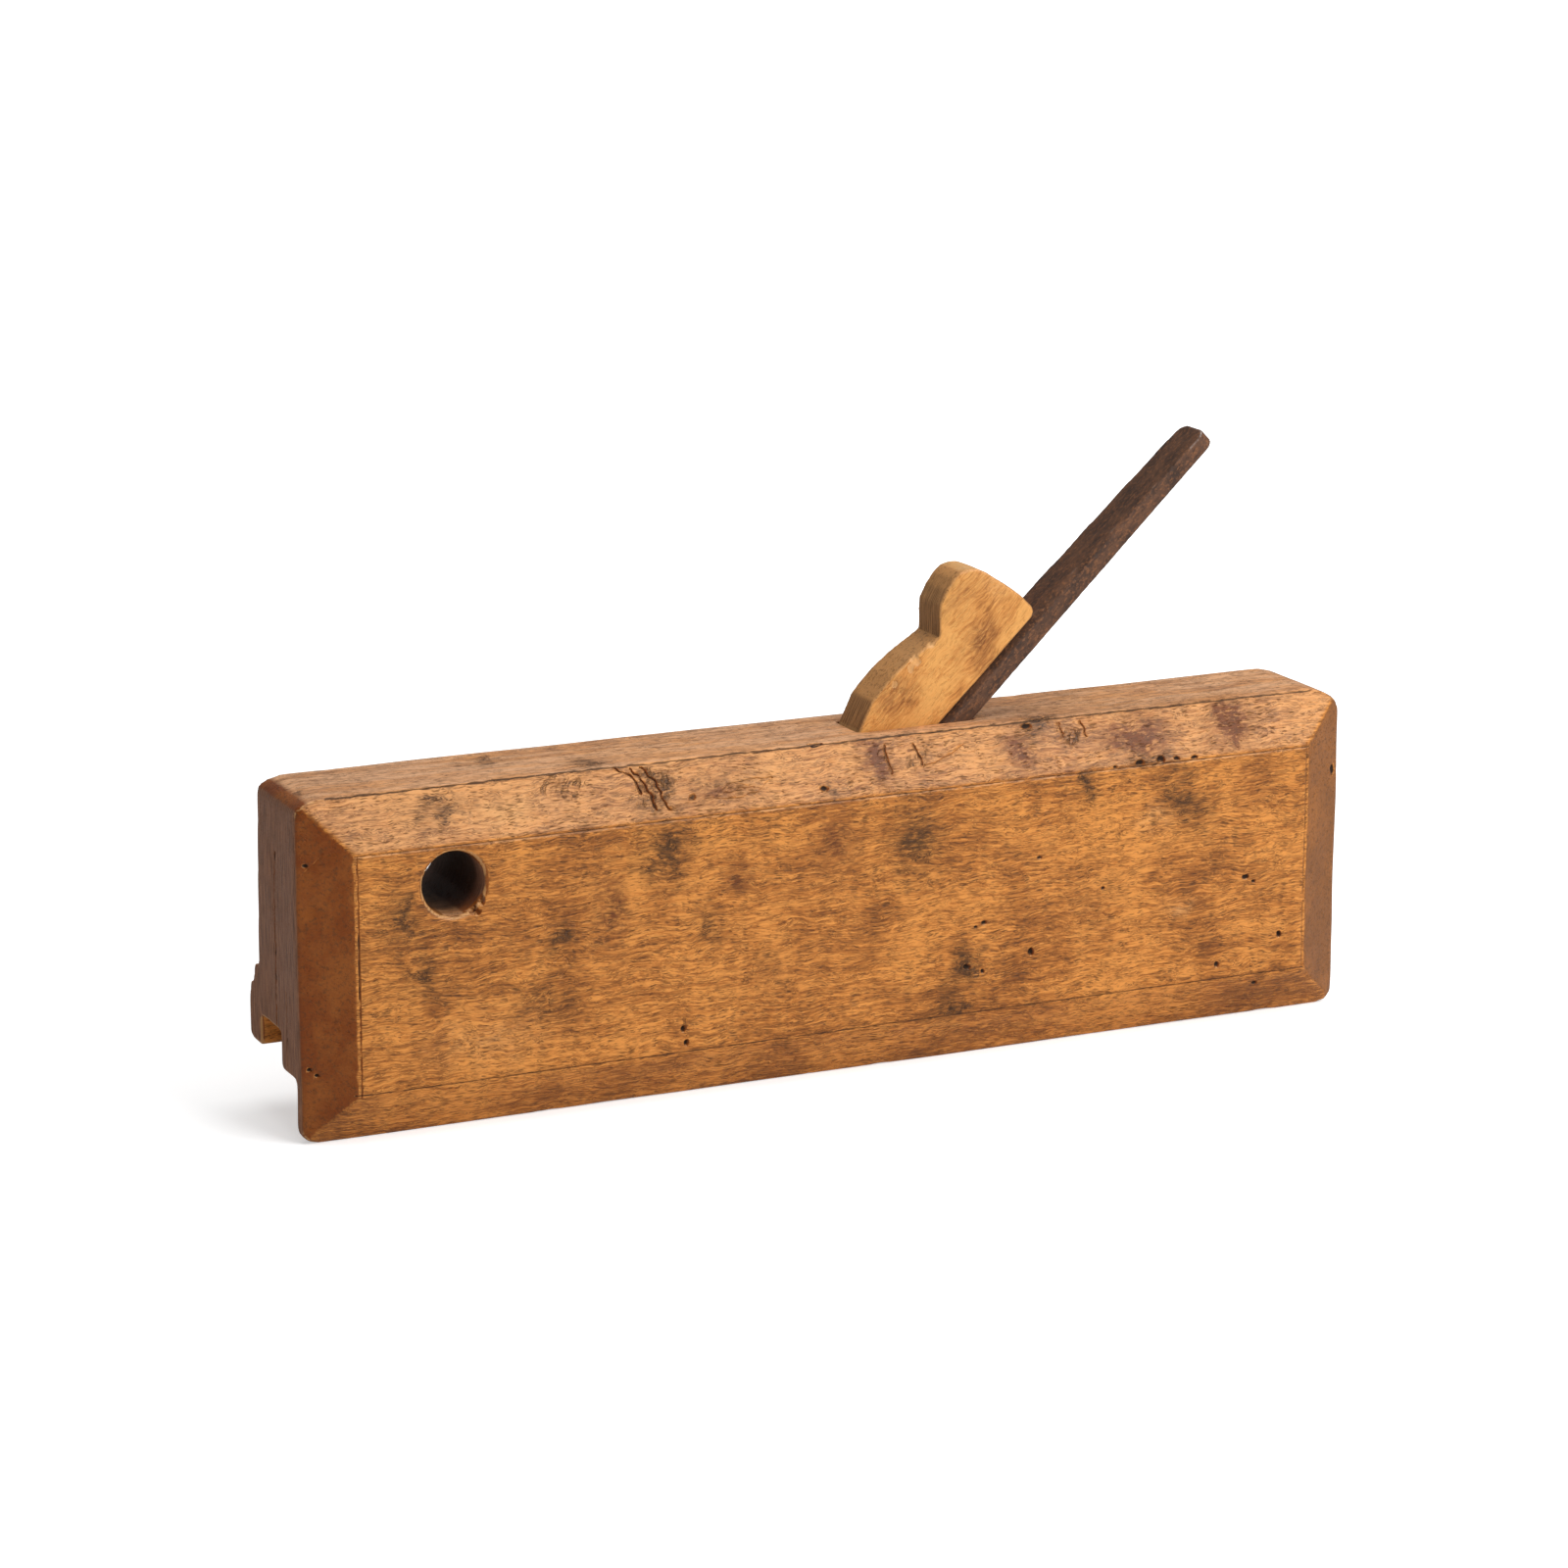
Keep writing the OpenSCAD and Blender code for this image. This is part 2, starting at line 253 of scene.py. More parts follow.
class Skin:
    """A piece's skin: an even mesh over its CAD node, worked inwards as arrays of points."""

    def __init__(self, node: str, name: str, grain: float, turn: float = 0.0) -> None:
        """Covers a CAD node with an even mesh.

        Args:
            node: The CAD node that the piece stands for.
            name: The name of the new piece.
            grain: The spacing of the mesh, in millimetres.
            turn: How steeply the piece lies, in degrees, which the rows of the mesh follow.
        """
        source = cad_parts[node].data
        welded = bmesh.new()
        welded.from_mesh(source)
        bmesh.ops.remove_doubles(welded, verts=welded.verts, dist=1e-6)
        mesh = bpy.data.meshes.new(name)
        welded.to_mesh(mesh)
        self.shell = BVHTree.FromBMesh(welded)
        welded.free()
        lay = Matrix.Rotation(math.radians(turn), 4, "Y")
        mesh.transform(lay)
        self.obj = bpy.data.objects.new(name, mesh)
        bpy.context.scene.collection.objects.link(self.obj)
        even = self.obj.modifiers.new("even_skin", "REMESH")
        even.mode = "VOXEL"
        even.voxel_size = grain * MM
        self._apply()
        self.obj.data.transform(lay.inverted())

    def _apply(self) -> None:
        """Turns the piece's modifiers into its mesh."""
        graph = bpy.context.evaluated_depsgraph_get()
        made = bpy.data.meshes.new_from_object(self.obj.evaluated_get(graph))
        made.name = self.obj.name
        self.obj.modifiers.clear()
        self.obj.data = made

    def points(self) -> np.ndarray:
        """Every point of the skin.

        Returns:
            One row per point, in millimetres from the toe, the fence side and the bottom.
        """
        flat = np.zeros(len(self.obj.data.vertices) * 3)
        self.obj.data.vertices.foreach_get("co", flat)
        return (flat.reshape(-1, 3) - CORNER) / MM

    def set_points(self, points: np.ndarray) -> None:
        """Moves the skin's points to new places, in millimetres."""
        self.obj.data.vertices.foreach_set("co", (points * MM + CORNER).ravel())
        self.obj.data.update()

    def facing(self) -> np.ndarray:
        """The way the skin faces at each of its points.

        Returns:
            One direction per point.
        """
        flat = np.zeros(len(self.obj.data.vertices) * 3)
        self.obj.data.vertex_normals.foreach_get("vector", flat)
        return flat.reshape(-1, 3)

    def edges(self) -> np.ndarray:
        """The two points at the ends of every edge.

        Returns:
            One pair of point numbers per edge.
        """
        flat = np.zeros(len(self.obj.data.edges) * 2, np.int64)
        self.obj.data.edges.foreach_get("vertices", flat)
        return flat.reshape(-1, 2)

    def round_over(self, rounds: int, share: np.ndarray | float = 0.5) -> None:
        """Eases the arrises by moving each point towards the middle of its neighbours.

        Args:
            rounds: How many passes are made.
            share: How far each point moves in a pass, from 0 to 1.
        """
        points, edges = self.points(), self.edges()
        count = np.bincount(edges.ravel(), minlength=len(points)).astype(float)
        share = np.broadcast_to(np.asarray(share, float), (len(points),))[:, None]
        for _ in range(rounds):
            middle = np.empty_like(points)
            for axis in range(3):
                value = points[:, axis]
                middle[:, axis] = np.bincount(edges[:, 0], value[edges[:, 1]], len(points))
                middle[:, axis] += np.bincount(edges[:, 1], value[edges[:, 0]], len(points))
            points = points + share * (middle / count[:, None] - points)
        self.set_points(points)

    def keep_inside(self) -> None:
        """Brings back any point that stands outside the CAD solid."""
        mesh = self.obj.data
        for vertex in mesh.vertices:
            spot, normal, _, _ = self.shell.find_nearest(vertex.co)
            if (vertex.co - spot).dot(normal) > 0.0:
                vertex.co = spot
        mesh.update()

    def depth(self) -> np.ndarray:
        """How far each point lies below the CAD surface, in millimetres."""
        found = (self.shell.find_nearest(v.co)[3] for v in self.obj.data.vertices)
        return np.fromiter(found, float, len(self.obj.data.vertices)) / MM

    def refine(self, near: Callable[[np.ndarray, np.ndarray], np.ndarray], times: int) -> None:
        """Makes the mesh finer where small marks need it.

        Args:
            near: Tells, from points and the way they face, where the mesh has to be finer.
            times: How often the edges there are halved.
        """
        for _ in range(times):
            points, facing, edges = self.points(), self.facing(), self.edges()
            middle = (points[edges[:, 0]] + points[edges[:, 1]]) / 2
            chosen = np.nonzero(near(middle, facing[edges[:, 0]]))[0]
            work = bmesh.new()
            work.from_mesh(self.obj.data)
            work.edges.ensure_lookup_table()
            bmesh.ops.subdivide_edges(
                work, edges=[work.edges[i] for i in chosen], cuts=1, use_grid_fill=True
            )
            work.to_mesh(self.obj.data)
            work.free()

    def lighten(self, triangles: int) -> None:
        """Thins out the mesh where it is flat.

        Args:
            triangles: How many triangles to keep at most.
        """
        sides = sum(len(p.vertices) - 2 for p in self.obj.data.polygons)
        if sides > triangles:
            thin = self.obj.modifiers.new("thin_out", "DECIMATE")
            thin.ratio = triangles / sides
            self._apply()

    def paint(self, name: str, values: np.ndarray) -> None:
        """Keeps one value per point under a name that the finishes read."""
        layer = self.obj.data.attributes.new(name, "FLOAT", "POINT")
        layer.data.foreach_set("value", values.astype(np.float32))


class Bench:
    """Lays out the nodes of one finish and joins them."""

    def __init__(self, name: str) -> None:
        """Starts an empty finish.

        Args:
            name: The finish's name.
        """
        self.material = bpy.data.materials.new(name)
        self.material.use_nodes = True
        self.tree = self.material.node_tree
        self.tree.nodes.clear()

    def add(self, kind: str, **settings: object) -> bpy.types.Node:
        """Adds a node.

        Args:
            kind: The node's type, without the part that all share.
            **settings: The node's own settings.

        Returns:
            The new node.
        """
        node = self.tree.nodes.new("ShaderNode" + kind)
        for key, value in settings.items():
            setattr(node, key, value)
        return node

    def feed(self, socket: Socket, value: object) -> None:
        """Joins a socket to another, or sets it to a plain value.

        Args:
            socket: The socket that is fed.
            value: Another socket, a number, a vector or a colour.
        """
        if isinstance(value, bpy.types.NodeSocket):
            self.tree.links.new(value, socket)
        elif socket.type == "RGBA":
            socket.default_value = (*value, 1.0)
        else:
            socket.default_value = value

    def sums(self, operation: str, *values: Socket | float, clamp: bool = False) -> Socket:
        """Works out one number from others.

        Args:
            operation: The name of the sum.
            *values: What goes in.
            clamp: Keeps the result from 0 to 1.

        Returns:
            The socket that holds the result.
        """
        node = self.add("Math", operation=operation, use_clamp=clamp)
        for socket, value in zip(node.inputs, values):
            self.feed(socket, value)
        return node.outputs[0]

    def vectors(self, operation: str, *values: Socket | Point3) -> Socket:
        """Works out one vector from others.

        Args:
            operation: The name of the sum.
            *values: What goes in.

        Returns:
            The socket that holds the result.
        """
        node = self.add("VectorMath", operation=operation)
        for socket, value in zip(node.inputs, values):
            self.feed(socket, value)
        return node.outputs[0]

    def spread(self, value: Socket, low: float, high: float, start: float = 0.0, end: float = 1.0) -> Socket:
        """Eases a value from one range into another.

        Args:
            value: What goes in.
            low: The value that gives start.
            high: The value that gives end.
            start: The result at low.
            end: The result at high.

        Returns:
            The socket that holds the result.
        """
        node = self.add("MapRange", interpolation_type="SMOOTHSTEP")
        for socket, given in zip(node.inputs, (value, low, high, start, end)):
            self.feed(socket, given)
        return node.outputs[0]

    def noise(self, where: Socket, pace: Point3, detail: float = 2.0, rough: float = 0.5) -> Socket:
        """A cloud of noise.

        Args:
            where: The coordinates, in millimetres.
            pace: How many waves there are in a millimetre, along each axis.
            detail: How many finer layers it has.
            rough: How strong the finer layers are.

        Returns:
            The socket that holds the noise, from about 0 to 1.
        """
        node = self.add("TexNoise", normalize=True)
        self.feed(node.inputs["Vector"], self.vectors("MULTIPLY", where, pace))
        self.feed(node.inputs["Scale"], 1.0)
        self.feed(node.inputs["Detail"], detail)
        self.feed(node.inputs["Roughness"], rough)
        return node.outputs[0]

    def wander(self, where: Socket, pace: Point3, reach: Point3) -> Socket:
        """Shifts coordinates about by a noise.

        Args:
            where: The coordinates, in millimetres.
            pace: How many waves there are in a millimetre, along each axis.
            reach: How far they shift along each axis, in millimetres.

        Returns:
            The socket that holds the shifted coordinates.
        """
        node = self.add("TexNoise", normalize=True)
        self.feed(node.inputs["Vector"], self.vectors("MULTIPLY", where, pace))
        self.feed(node.inputs["Scale"], 1.0)
        self.feed(node.inputs["Detail"], 2.0)
        centred = self.vectors("SUBTRACT", node.outputs["Color"], (0.5, 0.5, 0.5))
        return self.vectors("ADD", where, self.vectors("MULTIPLY", centred, reach))

    def turned(self, where: Socket, degrees: float) -> Socket:
        """Turns coordinates about the axis that runs across the plane.

        Args:
            where: The coordinates.
            degrees: How far they turn.

        Returns:
            The socket that holds the turned coordinates.
        """
        node = self.add("VectorRotate", rotation_type="Y_AXIS")
        self.feed(node.inputs["Vector"], where)
        self.feed(node.inputs["Angle"], math.radians(degrees))
        return node.outputs[0]

    def cells(self, where: Socket, pace: Point3) -> tuple[Socket, Socket]:
        """Scattered cells.

        Args:
            where: The coordinates, in millimetres.
            pace: How many cells there are in a millimetre, along each axis.

        Returns:
            The distance from the nearest cell's middle, and a number of the cell's own.
        """
        node = self.add("TexVoronoi", feature="F1")
        self.feed(node.inputs["Vector"], self.vectors("MULTIPLY", where, pace))
        self.feed(node.inputs["Scale"], 1.0)
        split = self.add("SeparateColor")
        self.feed(split.inputs[0], node.outputs["Color"])
        return node.outputs["Distance"], split.outputs[0]

    def ramp(self, value: Socket, stops: Sequence[tuple[float, Colour]]) -> Socket:
        """A run of colours.

        Args:
            value: Where along the run to look.
            stops: Places along the run with their colours.

        Returns:
            The socket that holds the colour.
        """
        node = self.add("ValToRGB")
        elements = node.color_ramp.elements
        while len(elements) < len(stops):
            elements.new(0.5)
        for element, (position, colour) in zip(elements, stops):
            element.position = position
            element.color = (*colour, 1.0)
        self.feed(node.inputs[0], value)
        return node.outputs[0]

    def blend(self, share: Socket | float, under: object, over: object) -> Socket:
        """Lays one colour over another.

        Args:
            share: How much of the upper colour shows.
            under: The lower colour.
            over: The upper colour.

        Returns:
            The socket that holds the colour.
        """
        node = self.add("Mix", data_type="RGBA")
        self.feed(node.inputs[0], share)
        self.feed(node.inputs[6], under)
        self.feed(node.inputs[7], over)
        return node.outputs[2]

    def kept(self, name: str) -> Socket:
        """Reads a value that the skin keeps under a name."""
        return self.add("Attribute", attribute_name=name).outputs["Fac"]

    def where(self) -> Socket:
        """The piece's own coordinates.

        Returns:
            The socket that holds them, in millimetres from the toe, the fence side and the bottom.
        """
        own = self.add("TexCoord").outputs["Object"]
        moved = self.vectors("SUBTRACT", own, tuple(CORNER))
        return self.vectors("MULTIPLY", moved, (1.0 / MM,) * 3)

    def facing(self) -> bpy.types.NodeOutputs:
        """The way the surface faces.

        Returns:
            Three sockets that hold it, one for each axis of the piece's own frame.
        """
        split = self.add("SeparateXYZ")
        self.feed(split.inputs[0], self.add("TexCoord").outputs["Normal"])
        return split.outputs

    def press(self, height: Socket, distance: float, under: Socket | None = None) -> Socket:
        """Presses a height into the surface.

        Args:
            height: The height, from 0 to 1.
            distance: How deep it goes, in millimetres.
            under: An earlier pressed surface that this one adds to.

        Returns:
            The socket that holds the pressed surface.
        """
        node = self.add("Bump")
        self.feed(node.inputs["Strength"], 1.0)
        self.feed(node.inputs["Distance"], distance * MM)
        self.feed(node.inputs["Height"], height)
        if under is not None:
            self.feed(node.inputs["Normal"], under)
        return node.outputs[0]

    def surface(self, colour: Socket, rough: Socket, normal: Socket, **fixed: float) -> bpy.types.Node:
        """Ends the finish with a surface.

        Args:
            colour: The colour.
            rough: The roughness.
            normal: The pressed surface.
            **fixed: Numbers that are the same all over.

        Returns:
            The surface node.
        """
        node = self.add("BsdfPrincipled")
        self.feed(node.inputs["Base Color"], colour)
        self.feed(node.inputs["Roughness"], rough)
        self.feed(node.inputs["Normal"], normal)
        for name, value in fixed.items():
            node.inputs[name.replace("_", " ")].default_value = value
        out = self.add("OutputMaterial")
        self.feed(out.inputs[0], node.outputs[0])
        return node


class Tint(Enum):
    """The kinds of stain on old beech, with the colour each leaves."""

    SOOT = (0.098, 0.040, 0.010)
    RUSSET = (0.165, 0.048, 0.011)
    RUBBED = (0.70, 0.37, 0.14)
    CRAZED = (0.050, 0.021, 0.008)


@dataclass(frozen=True)
class Stain:
    """A soft stain: its middle, its half sizes, its strength and its lean."""

    tint: Tint
    centre: Point3
    half: Point3
    strength: float
    lean: float = 0.0


@dataclass(frozen=True)
class Grain:
    """What one piece of wood is drawn with: places in millimetres, facing, and noises from 0 to 1."""

    lengthways: Socket
    upwards: Socket
    plain: Socket
    curled: Socket
    ragged: Socket
    patchy: Socket
    fibre: Socket
    streak: Socket
    cloud: Socket


@dataclass(frozen=True)
class Beech:
    """A finish of old oiled beech, with fibres along the plane."""

    name: str
    light: Colour = (0.68, 0.268, 0.056)
    middle: Colour = (0.45, 0.158, 0.029)
    dark: Colour = (0.17, 0.052, 0.010)
    pore: Colour = (0.062, 0.024, 0.007)
    end_grain: Colour = (0.360, 0.165, 0.090)
    # The toe-facing and heel-facing bevel colours: partly a darker finish, partly painted shade.
    handled_and_shaded: Colour = (0.178, 0.036, 0.001)
    heel: Colour = (0.185, 0.068, 0.018)
    # top and sheen are painted sheen: paler colours laid on the upward-facing top and the bevel below it for
    # the light they catch.
    top: Colour = (0.66, 0.365, 0.195)
    sheen: Colour = (0.66, 0.340, 0.145)
    # Dark colour for dirt and painted shade in the marks, and painted shade deeper in the bore.
    grime_and_shade: Colour = (0.026, 0.012, 0.006)
    worn: Colour = (0.72, 0.40, 0.16)
    rough: float = 0.46
    flecks: float = 0.62
    hairs: float = 1.00
    gloss: float = 0.22
    groove_depth: float = 0.10
    stain_gain: float = 1.6
    fibre_pace: Point3 = (0.11, 2.2, 2.2)
    fibre_share: float = 0.66
    streak_pace: Point3 = (0.022, 0.34, 0.34)
    streak_share: float = 0.24
    cloud_pace: Point3 = (0.040, 0.040, 0.032)
    cloud_share: float = 0.44
    figure_pace: Point3 = (0.085, 0.03, 0.020)
    figure_share: float = 0.20
    tones: Point2 = (0.57, 0.95)
    fleck_pace: Point3 = (0.34, 2.4, 2.4)
    hair_pace: Point3 = (0.10, 0.95, 0.95)
    hair_width: float = 0.044
    crack_pace: Point3 = (0.16, 0.12, 0.62)
    crack_width: float = 0.040
    cracks: float = 0.85
    bevel_cover: float = 0.94
    worn_cover: float = 0.50
    saw_pace: Point3 = (0.0, 2.2, 0.10)
    saw_shade: float = 0.28
    turn: float = 0.0
    stains: tuple[Stain, ...] = ()

    def _stained(self, bench: Bench, where: Socket, tint: Tint) -> Socket:
        """Adds up the stains of one tint.

        Args:
            bench: The finish's nodes.
            where: The coordinates, in millimetres.
            tint: The tint to gather.

        Returns:
            How strongly that tint shows, from 0 to 1.
        """
        total: Socket | float = 0.0
        for stain in (s for s in self.stains if s.tint is tint):
            spot = bench.add("Mapping", vector_type="TEXTURE")
            bench.feed(spot.inputs["Vector"], where)
            bench.feed(spot.inputs["Location"], stain.centre)
            bench.feed(spot.inputs["Rotation"], (0.0, math.radians(stain.lean), 0.0))
            bench.feed(spot.inputs["Scale"], stain.half)
            fade = bench.add("TexGradient", gradient_type="QUADRATIC_SPHERE")
            bench.feed(fade.inputs[0], spot.outputs[0])
            total = bench.sums("MULTIPLY_ADD", fade.outputs["Fac"], self.stain_gain * stain.strength, total)
        return total

    def make(self) -> bpy.types.Material:
        """Makes the finish.

        Returns:
            The finished material.
        """
        bench = Bench(self.name)
        grain = self._grain(bench)
        stained = {tint: self._stained(bench, grain.ragged, tint) for tint in Tint}
        colour = self._wood(bench, grain)
        # Painted sheen on the upper faces, chosen by which way they face.
        colour = self._painted_upper_sheen(bench, grain, colour)
        for tint in (Tint.RUSSET, Tint.SOOT, Tint.RUBBED):
            share = bench.sums("MULTIPLY", stained[tint], grain.patchy, clamp=True)
            colour = bench.blend(share, colour, tint.value)
        fleck = self._flecks(bench, grain)
        colour = bench.blend(bench.sums("MULTIPLY", fleck, self.flecks), colour, self.pore)
        hair = self._hairs(bench, grain, stained[Tint.SOOT])
        colour = bench.blend(bench.sums("MULTIPLY", hair, self.hairs, clamp=True), colour, self.pore)
        cracked = self._cracks(bench, grain, stained[Tint.CRAZED])
        colour = bench.blend(bench.sums("MULTIPLY", cracked, self.cracks), colour, Tint.CRAZED.value)
        end_on = bench.sums("ABSOLUTE", grain.lengthways)
        # The end-facing bevels take a darker colour: partly finish, partly painted shade.
        bevel = self._end_bevels(bench, grain)
        colour = bench.blend(bench.spread(end_on, *BEVEL_TURN, 0.0, self.bevel_cover), colour, bevel)
        square_on = bench.spread(end_on, *END_TURN)
        colour = bench.blend(square_on, colour, self._sawn_ends(bench, grain))
        worn = bench.sums("ADD", bench.kept("worn"), bench.sums("MULTIPLY", grain.fibre, 0.40))
        worn = bench.spread(worn, 0.42, 0.90)
        colour = bench.blend(bench.sums("MULTIPLY", worn, self.worn_cover), colour, self.worn)
        # Darkening kept on the skin: dirt and painted shade in cracks, scribed lines and pits, painted shade
        # in the bore.
        grime_and_shade = bench.kept("grime_and_shade")
        colour = bench.blend(bench.spread(grime_and_shade, 0.05, 0.75), colour, self.grime_and_shade)
        rough = bench.spread(grain.cloud, 0.3, 0.7, self.rough - 0.07, self.rough + 0.10)
        for matter, added in ((fleck, 0.22), (square_on, 0.25)):
            rough = bench.sums("MULTIPLY_ADD", matter, added, rough)
        rough = bench.sums("MULTIPLY_ADD", grime_and_shade, 0.3, rough, clamp=True)
        normal = self._relief(bench, grain, fleck, cracked)
        bench.surface(colour, rough, normal, Specular_IOR_Level=self.gloss)
        return bench.material

    def _relief(self, bench: Bench, grain: Grain, fleck: Socket, cracked: Socket) -> Socket:
        """Presses the fibres, flecks and cracks into the surface, and the unevenness of handling.

        Args:
            bench: The finish's nodes.
            grain: The shared noises.
            fleck: How strongly a fleck shows.
            cracked: How strongly a crack shows.

        Returns:
            The pressed surface.
        """
        grooves = bench.sums("MULTIPLY_ADD", grain.fibre, 0.45, bench.sums("MULTIPLY", fleck, -0.75))
        grooves = bench.sums("MULTIPLY_ADD", cracked, -1.0, grooves)
        normal = bench.press(grooves, self.groove_depth)
        handled_and_shaded = bench.noise(grain.plain, (0.9, 0.9, 0.9), 3.0, 0.6)
        return bench.press(handled_and_shaded, self.groove_depth, normal)

    def _grain(self, bench: Bench) -> Grain:
        """Lays out the coordinates, facing and noises that the whole finish shares.

        Args:
            bench: The finish's nodes.

        Returns:
            Everything shared.
        """
        plain = along = bench.where()
        if self.turn:
            along = bench.turned(plain, self.turn)
        curled = bench.wander(along, (0.055, 0.10, 0.10), (0.0, 5.0, 5.0))
        curled = bench.wander(curled, (0.16, 0.22, 0.22), (0.0, 1.5, 1.5))
        ragged = bench.wander(plain, (0.13, 0.13, 0.13), (12.0, 4.0, 12.0))
        ragged = bench.wander(ragged, (0.5, 0.5, 0.5), (2.5, 1.0, 2.5))
        blotch = bench.noise(curled, (0.4, 1.2, 1.2), 4.0, 0.7)
        lengthways, _, upwards = bench.facing()
        return Grain(
            lengthways=lengthways,
            upwards=upwards,
            plain=plain,
            curled=curled,
            ragged=ragged,
            patchy=bench.spread(blotch, 0.30, 0.62, 0.15, 1.20),
            fibre=bench.noise(curled, self.fibre_pace, 4.0, 0.70),
            streak=bench.noise(curled, self.streak_pace, 3.0, 0.55),
            cloud=bench.noise(plain, self.cloud_pace, 4.0, 0.62),
        )

    def _wood(self, bench: Bench, grain: Grain) -> Socket:
        """Mixes the wood's own colour from its fibres, streaks, clouds and cross figure.

        Args:
            bench: The finish's nodes.
            grain: The shared noises.

        Returns:
            The colour.
        """
        figure = bench.noise(grain.ragged, self.figure_pace, 3.0, 0.6)
        tone = bench.sums("MULTIPLY", grain.fibre, self.fibre_share)
        tone = bench.sums("MULTIPLY_ADD", grain.streak, self.streak_share, tone)
        tone = bench.sums("MULTIPLY_ADD", grain.cloud, self.cloud_share, tone)
        tone = bench.sums("MULTIPLY_ADD", figure, self.figure_share, tone)
        return bench.ramp(
            bench.spread(tone, *self.tones),
            [(0.0, self.dark), (0.42, self.middle), (0.80, self.light), (1.0, self.light)],
        )

    def _painted_upper_sheen(self, bench: Bench, grain: Grain, colour: Socket) -> Socket:
        """Paints a paler sheen on the top and the bevel below it: a painted highlight for the light these
        upper faces catch.

        Args:
            bench: The finish's nodes.
            grain: The shared noises.
            colour: The colour so far.

        Returns:
            The colour.
        """
        # Painted sheen: the top face is paled by how squarely it faces up.
        top = bench.spread(grain.upwards, *TOP_TURN)
        top_sheen_mix = bench.sums("MULTIPLY", top, bench.spread(grain.streak, 0.35, 0.65, 0.40, 0.90))
        colour = bench.blend(top_sheen_mix, colour, self.top)
        below = bench.sums("SUBTRACT", 1.0, top)
        # Painted highlight on the bevel below the top, where the key light glances off it.
        slope = bench.sums("MULTIPLY", bench.spread(grain.upwards, *SLOPE_TURN), below)
        lit = bench.sums("ADD", grain.fibre, bench.sums("MULTIPLY", grain.cloud, 0.6))
        lit = bench.spread(lit, 0.55, 0.95, 0.05, 0.62)
        return bench.blend(bench.sums("MULTIPLY", slope, lit), colour, self.sheen)

    def _flecks(self, bench: Bench, grain: Grain) -> Socket:
        """Scatters beech's short dark flecks along the fibres.

        Args:
            bench: The finish's nodes.
            grain: The shared noises.

        Returns:
            How strongly a fleck shows, from 0 to 1.
        """
        spot, chance = bench.cells(grain.curled, self.fleck_pace)
        size = bench.spread(bench.noise(grain.plain, (0.08, 0.08, 0.08), 2.0), 0.3, 0.7, 0.20, 0.42)
        size = bench.sums("MULTIPLY", size, bench.spread(chance, 0.1, 0.9, 0.3, 1.25))
        outside = bench.spread(bench.sums("DIVIDE", spot, size), 0.5, 1.15)
        return bench.sums("SUBTRACT", 1.0, outside)

    def _hairs(self, bench: Bench, grain: Grain, soot: Socket) -> Socket:
        """Draws fine broken lines along the fibres, darker where soot has settled.

        Args:
            bench: The finish's nodes.
            grain: The shared noises.
            soot: How sooty the wood is.

        Returns:
            How strongly a line shows, from 0 to 1.
        """
        hair = self._lines(bench, grain.curled, self.hair_pace, (0.42, 0.50, 0.58), self.hair_width)
        broken = bench.spread(bench.noise(grain.plain, (0.25, 0.8, 0.8), 3.0, 0.6), 0.35, 0.58)
        sooty = bench.spread(soot, 0.0, 0.6, 0.62, 1.1)
        return bench.sums("MULTIPLY", bench.sums("MULTIPLY", hair, broken), sooty)

    def _cracks(self, bench: Bench, grain: Grain, crazed: Socket) -> Socket:
        """Draws fine cracks that lean across the fibres where the wood is crazed.

        Args:
            bench: The finish's nodes.
            grain: The shared noises.
            crazed: How crazed the wood is.

        Returns:
            How strongly a crack shows, from 0 to 1.
        """
        wavy = bench.wander(grain.plain, (0.45, 0.45, 0.45), (2.6, 2.6, 2.6))
        across = bench.turned(wavy, CRACK_LEAN)
        lines = self._lines(bench, across, self.crack_pace, (0.44, 0.50, 0.56), self.crack_width)
        patch = bench.spread(bench.noise(grain.plain, (0.4, 0.4, 0.4), 3.0), 0.40, 0.58)
        patch = bench.sums("MULTIPLY", bench.spread(crazed, 0.10, 0.55), patch)
        return bench.sums("MULTIPLY", lines, patch, clamp=True)

    def _end_bevels(self, bench: Bench, grain: Grain) -> Socket:
        """Mixes the darker colour of the bevels that face the toe and the heel: partly their darker finish,
        partly painted shade for the little light they get.

        Args:
            bench: The finish's nodes.
            grain: The shared noises.

        Returns:
            The colour.
        """
        # Painted shade with the darker finish: darkest on the toe-facing bevel, less on the heel-facing one.
        bevel = bench.blend(bench.spread(grain.lengthways, -0.2, 0.2), self.handled_and_shaded, self.heel)
        patch = bench.spread(bench.noise(grain.ragged, (0.09, 0.09, 0.06), 3.0, 0.6), 0.36, 0.62)
        paler = bench.blend(0.45, bevel, self.middle)
        bevel = bench.blend(bench.sums("MULTIPLY", patch, 0.60), bevel, paler)
        speckle = bench.spread(bench.noise(grain.plain, (1.0, 1.0, 1.0), 4.0, 0.75), 0.50, 0.64)
        return bench.blend(bench.sums("MULTIPLY", speckle, 0.55), bevel, self.pore)

    def _sawn_ends(self, bench: Bench, grain: Grain) -> Socket:
        """Mixes the colour of the end grain, with upright streaks.

        Args:
            bench: The finish's nodes.
            grain: The shared noises.

        Returns:
            The colour.
        """
        sawn = bench.noise(grain.plain, self.saw_pace, 4.0, 0.7)
        shade = tuple(self.saw_shade * c for c in self.end_grain)
        return bench.ramp(bench.spread(sawn, 0.3, 0.7), [(0.0, shade), (1.0, self.end_grain)])

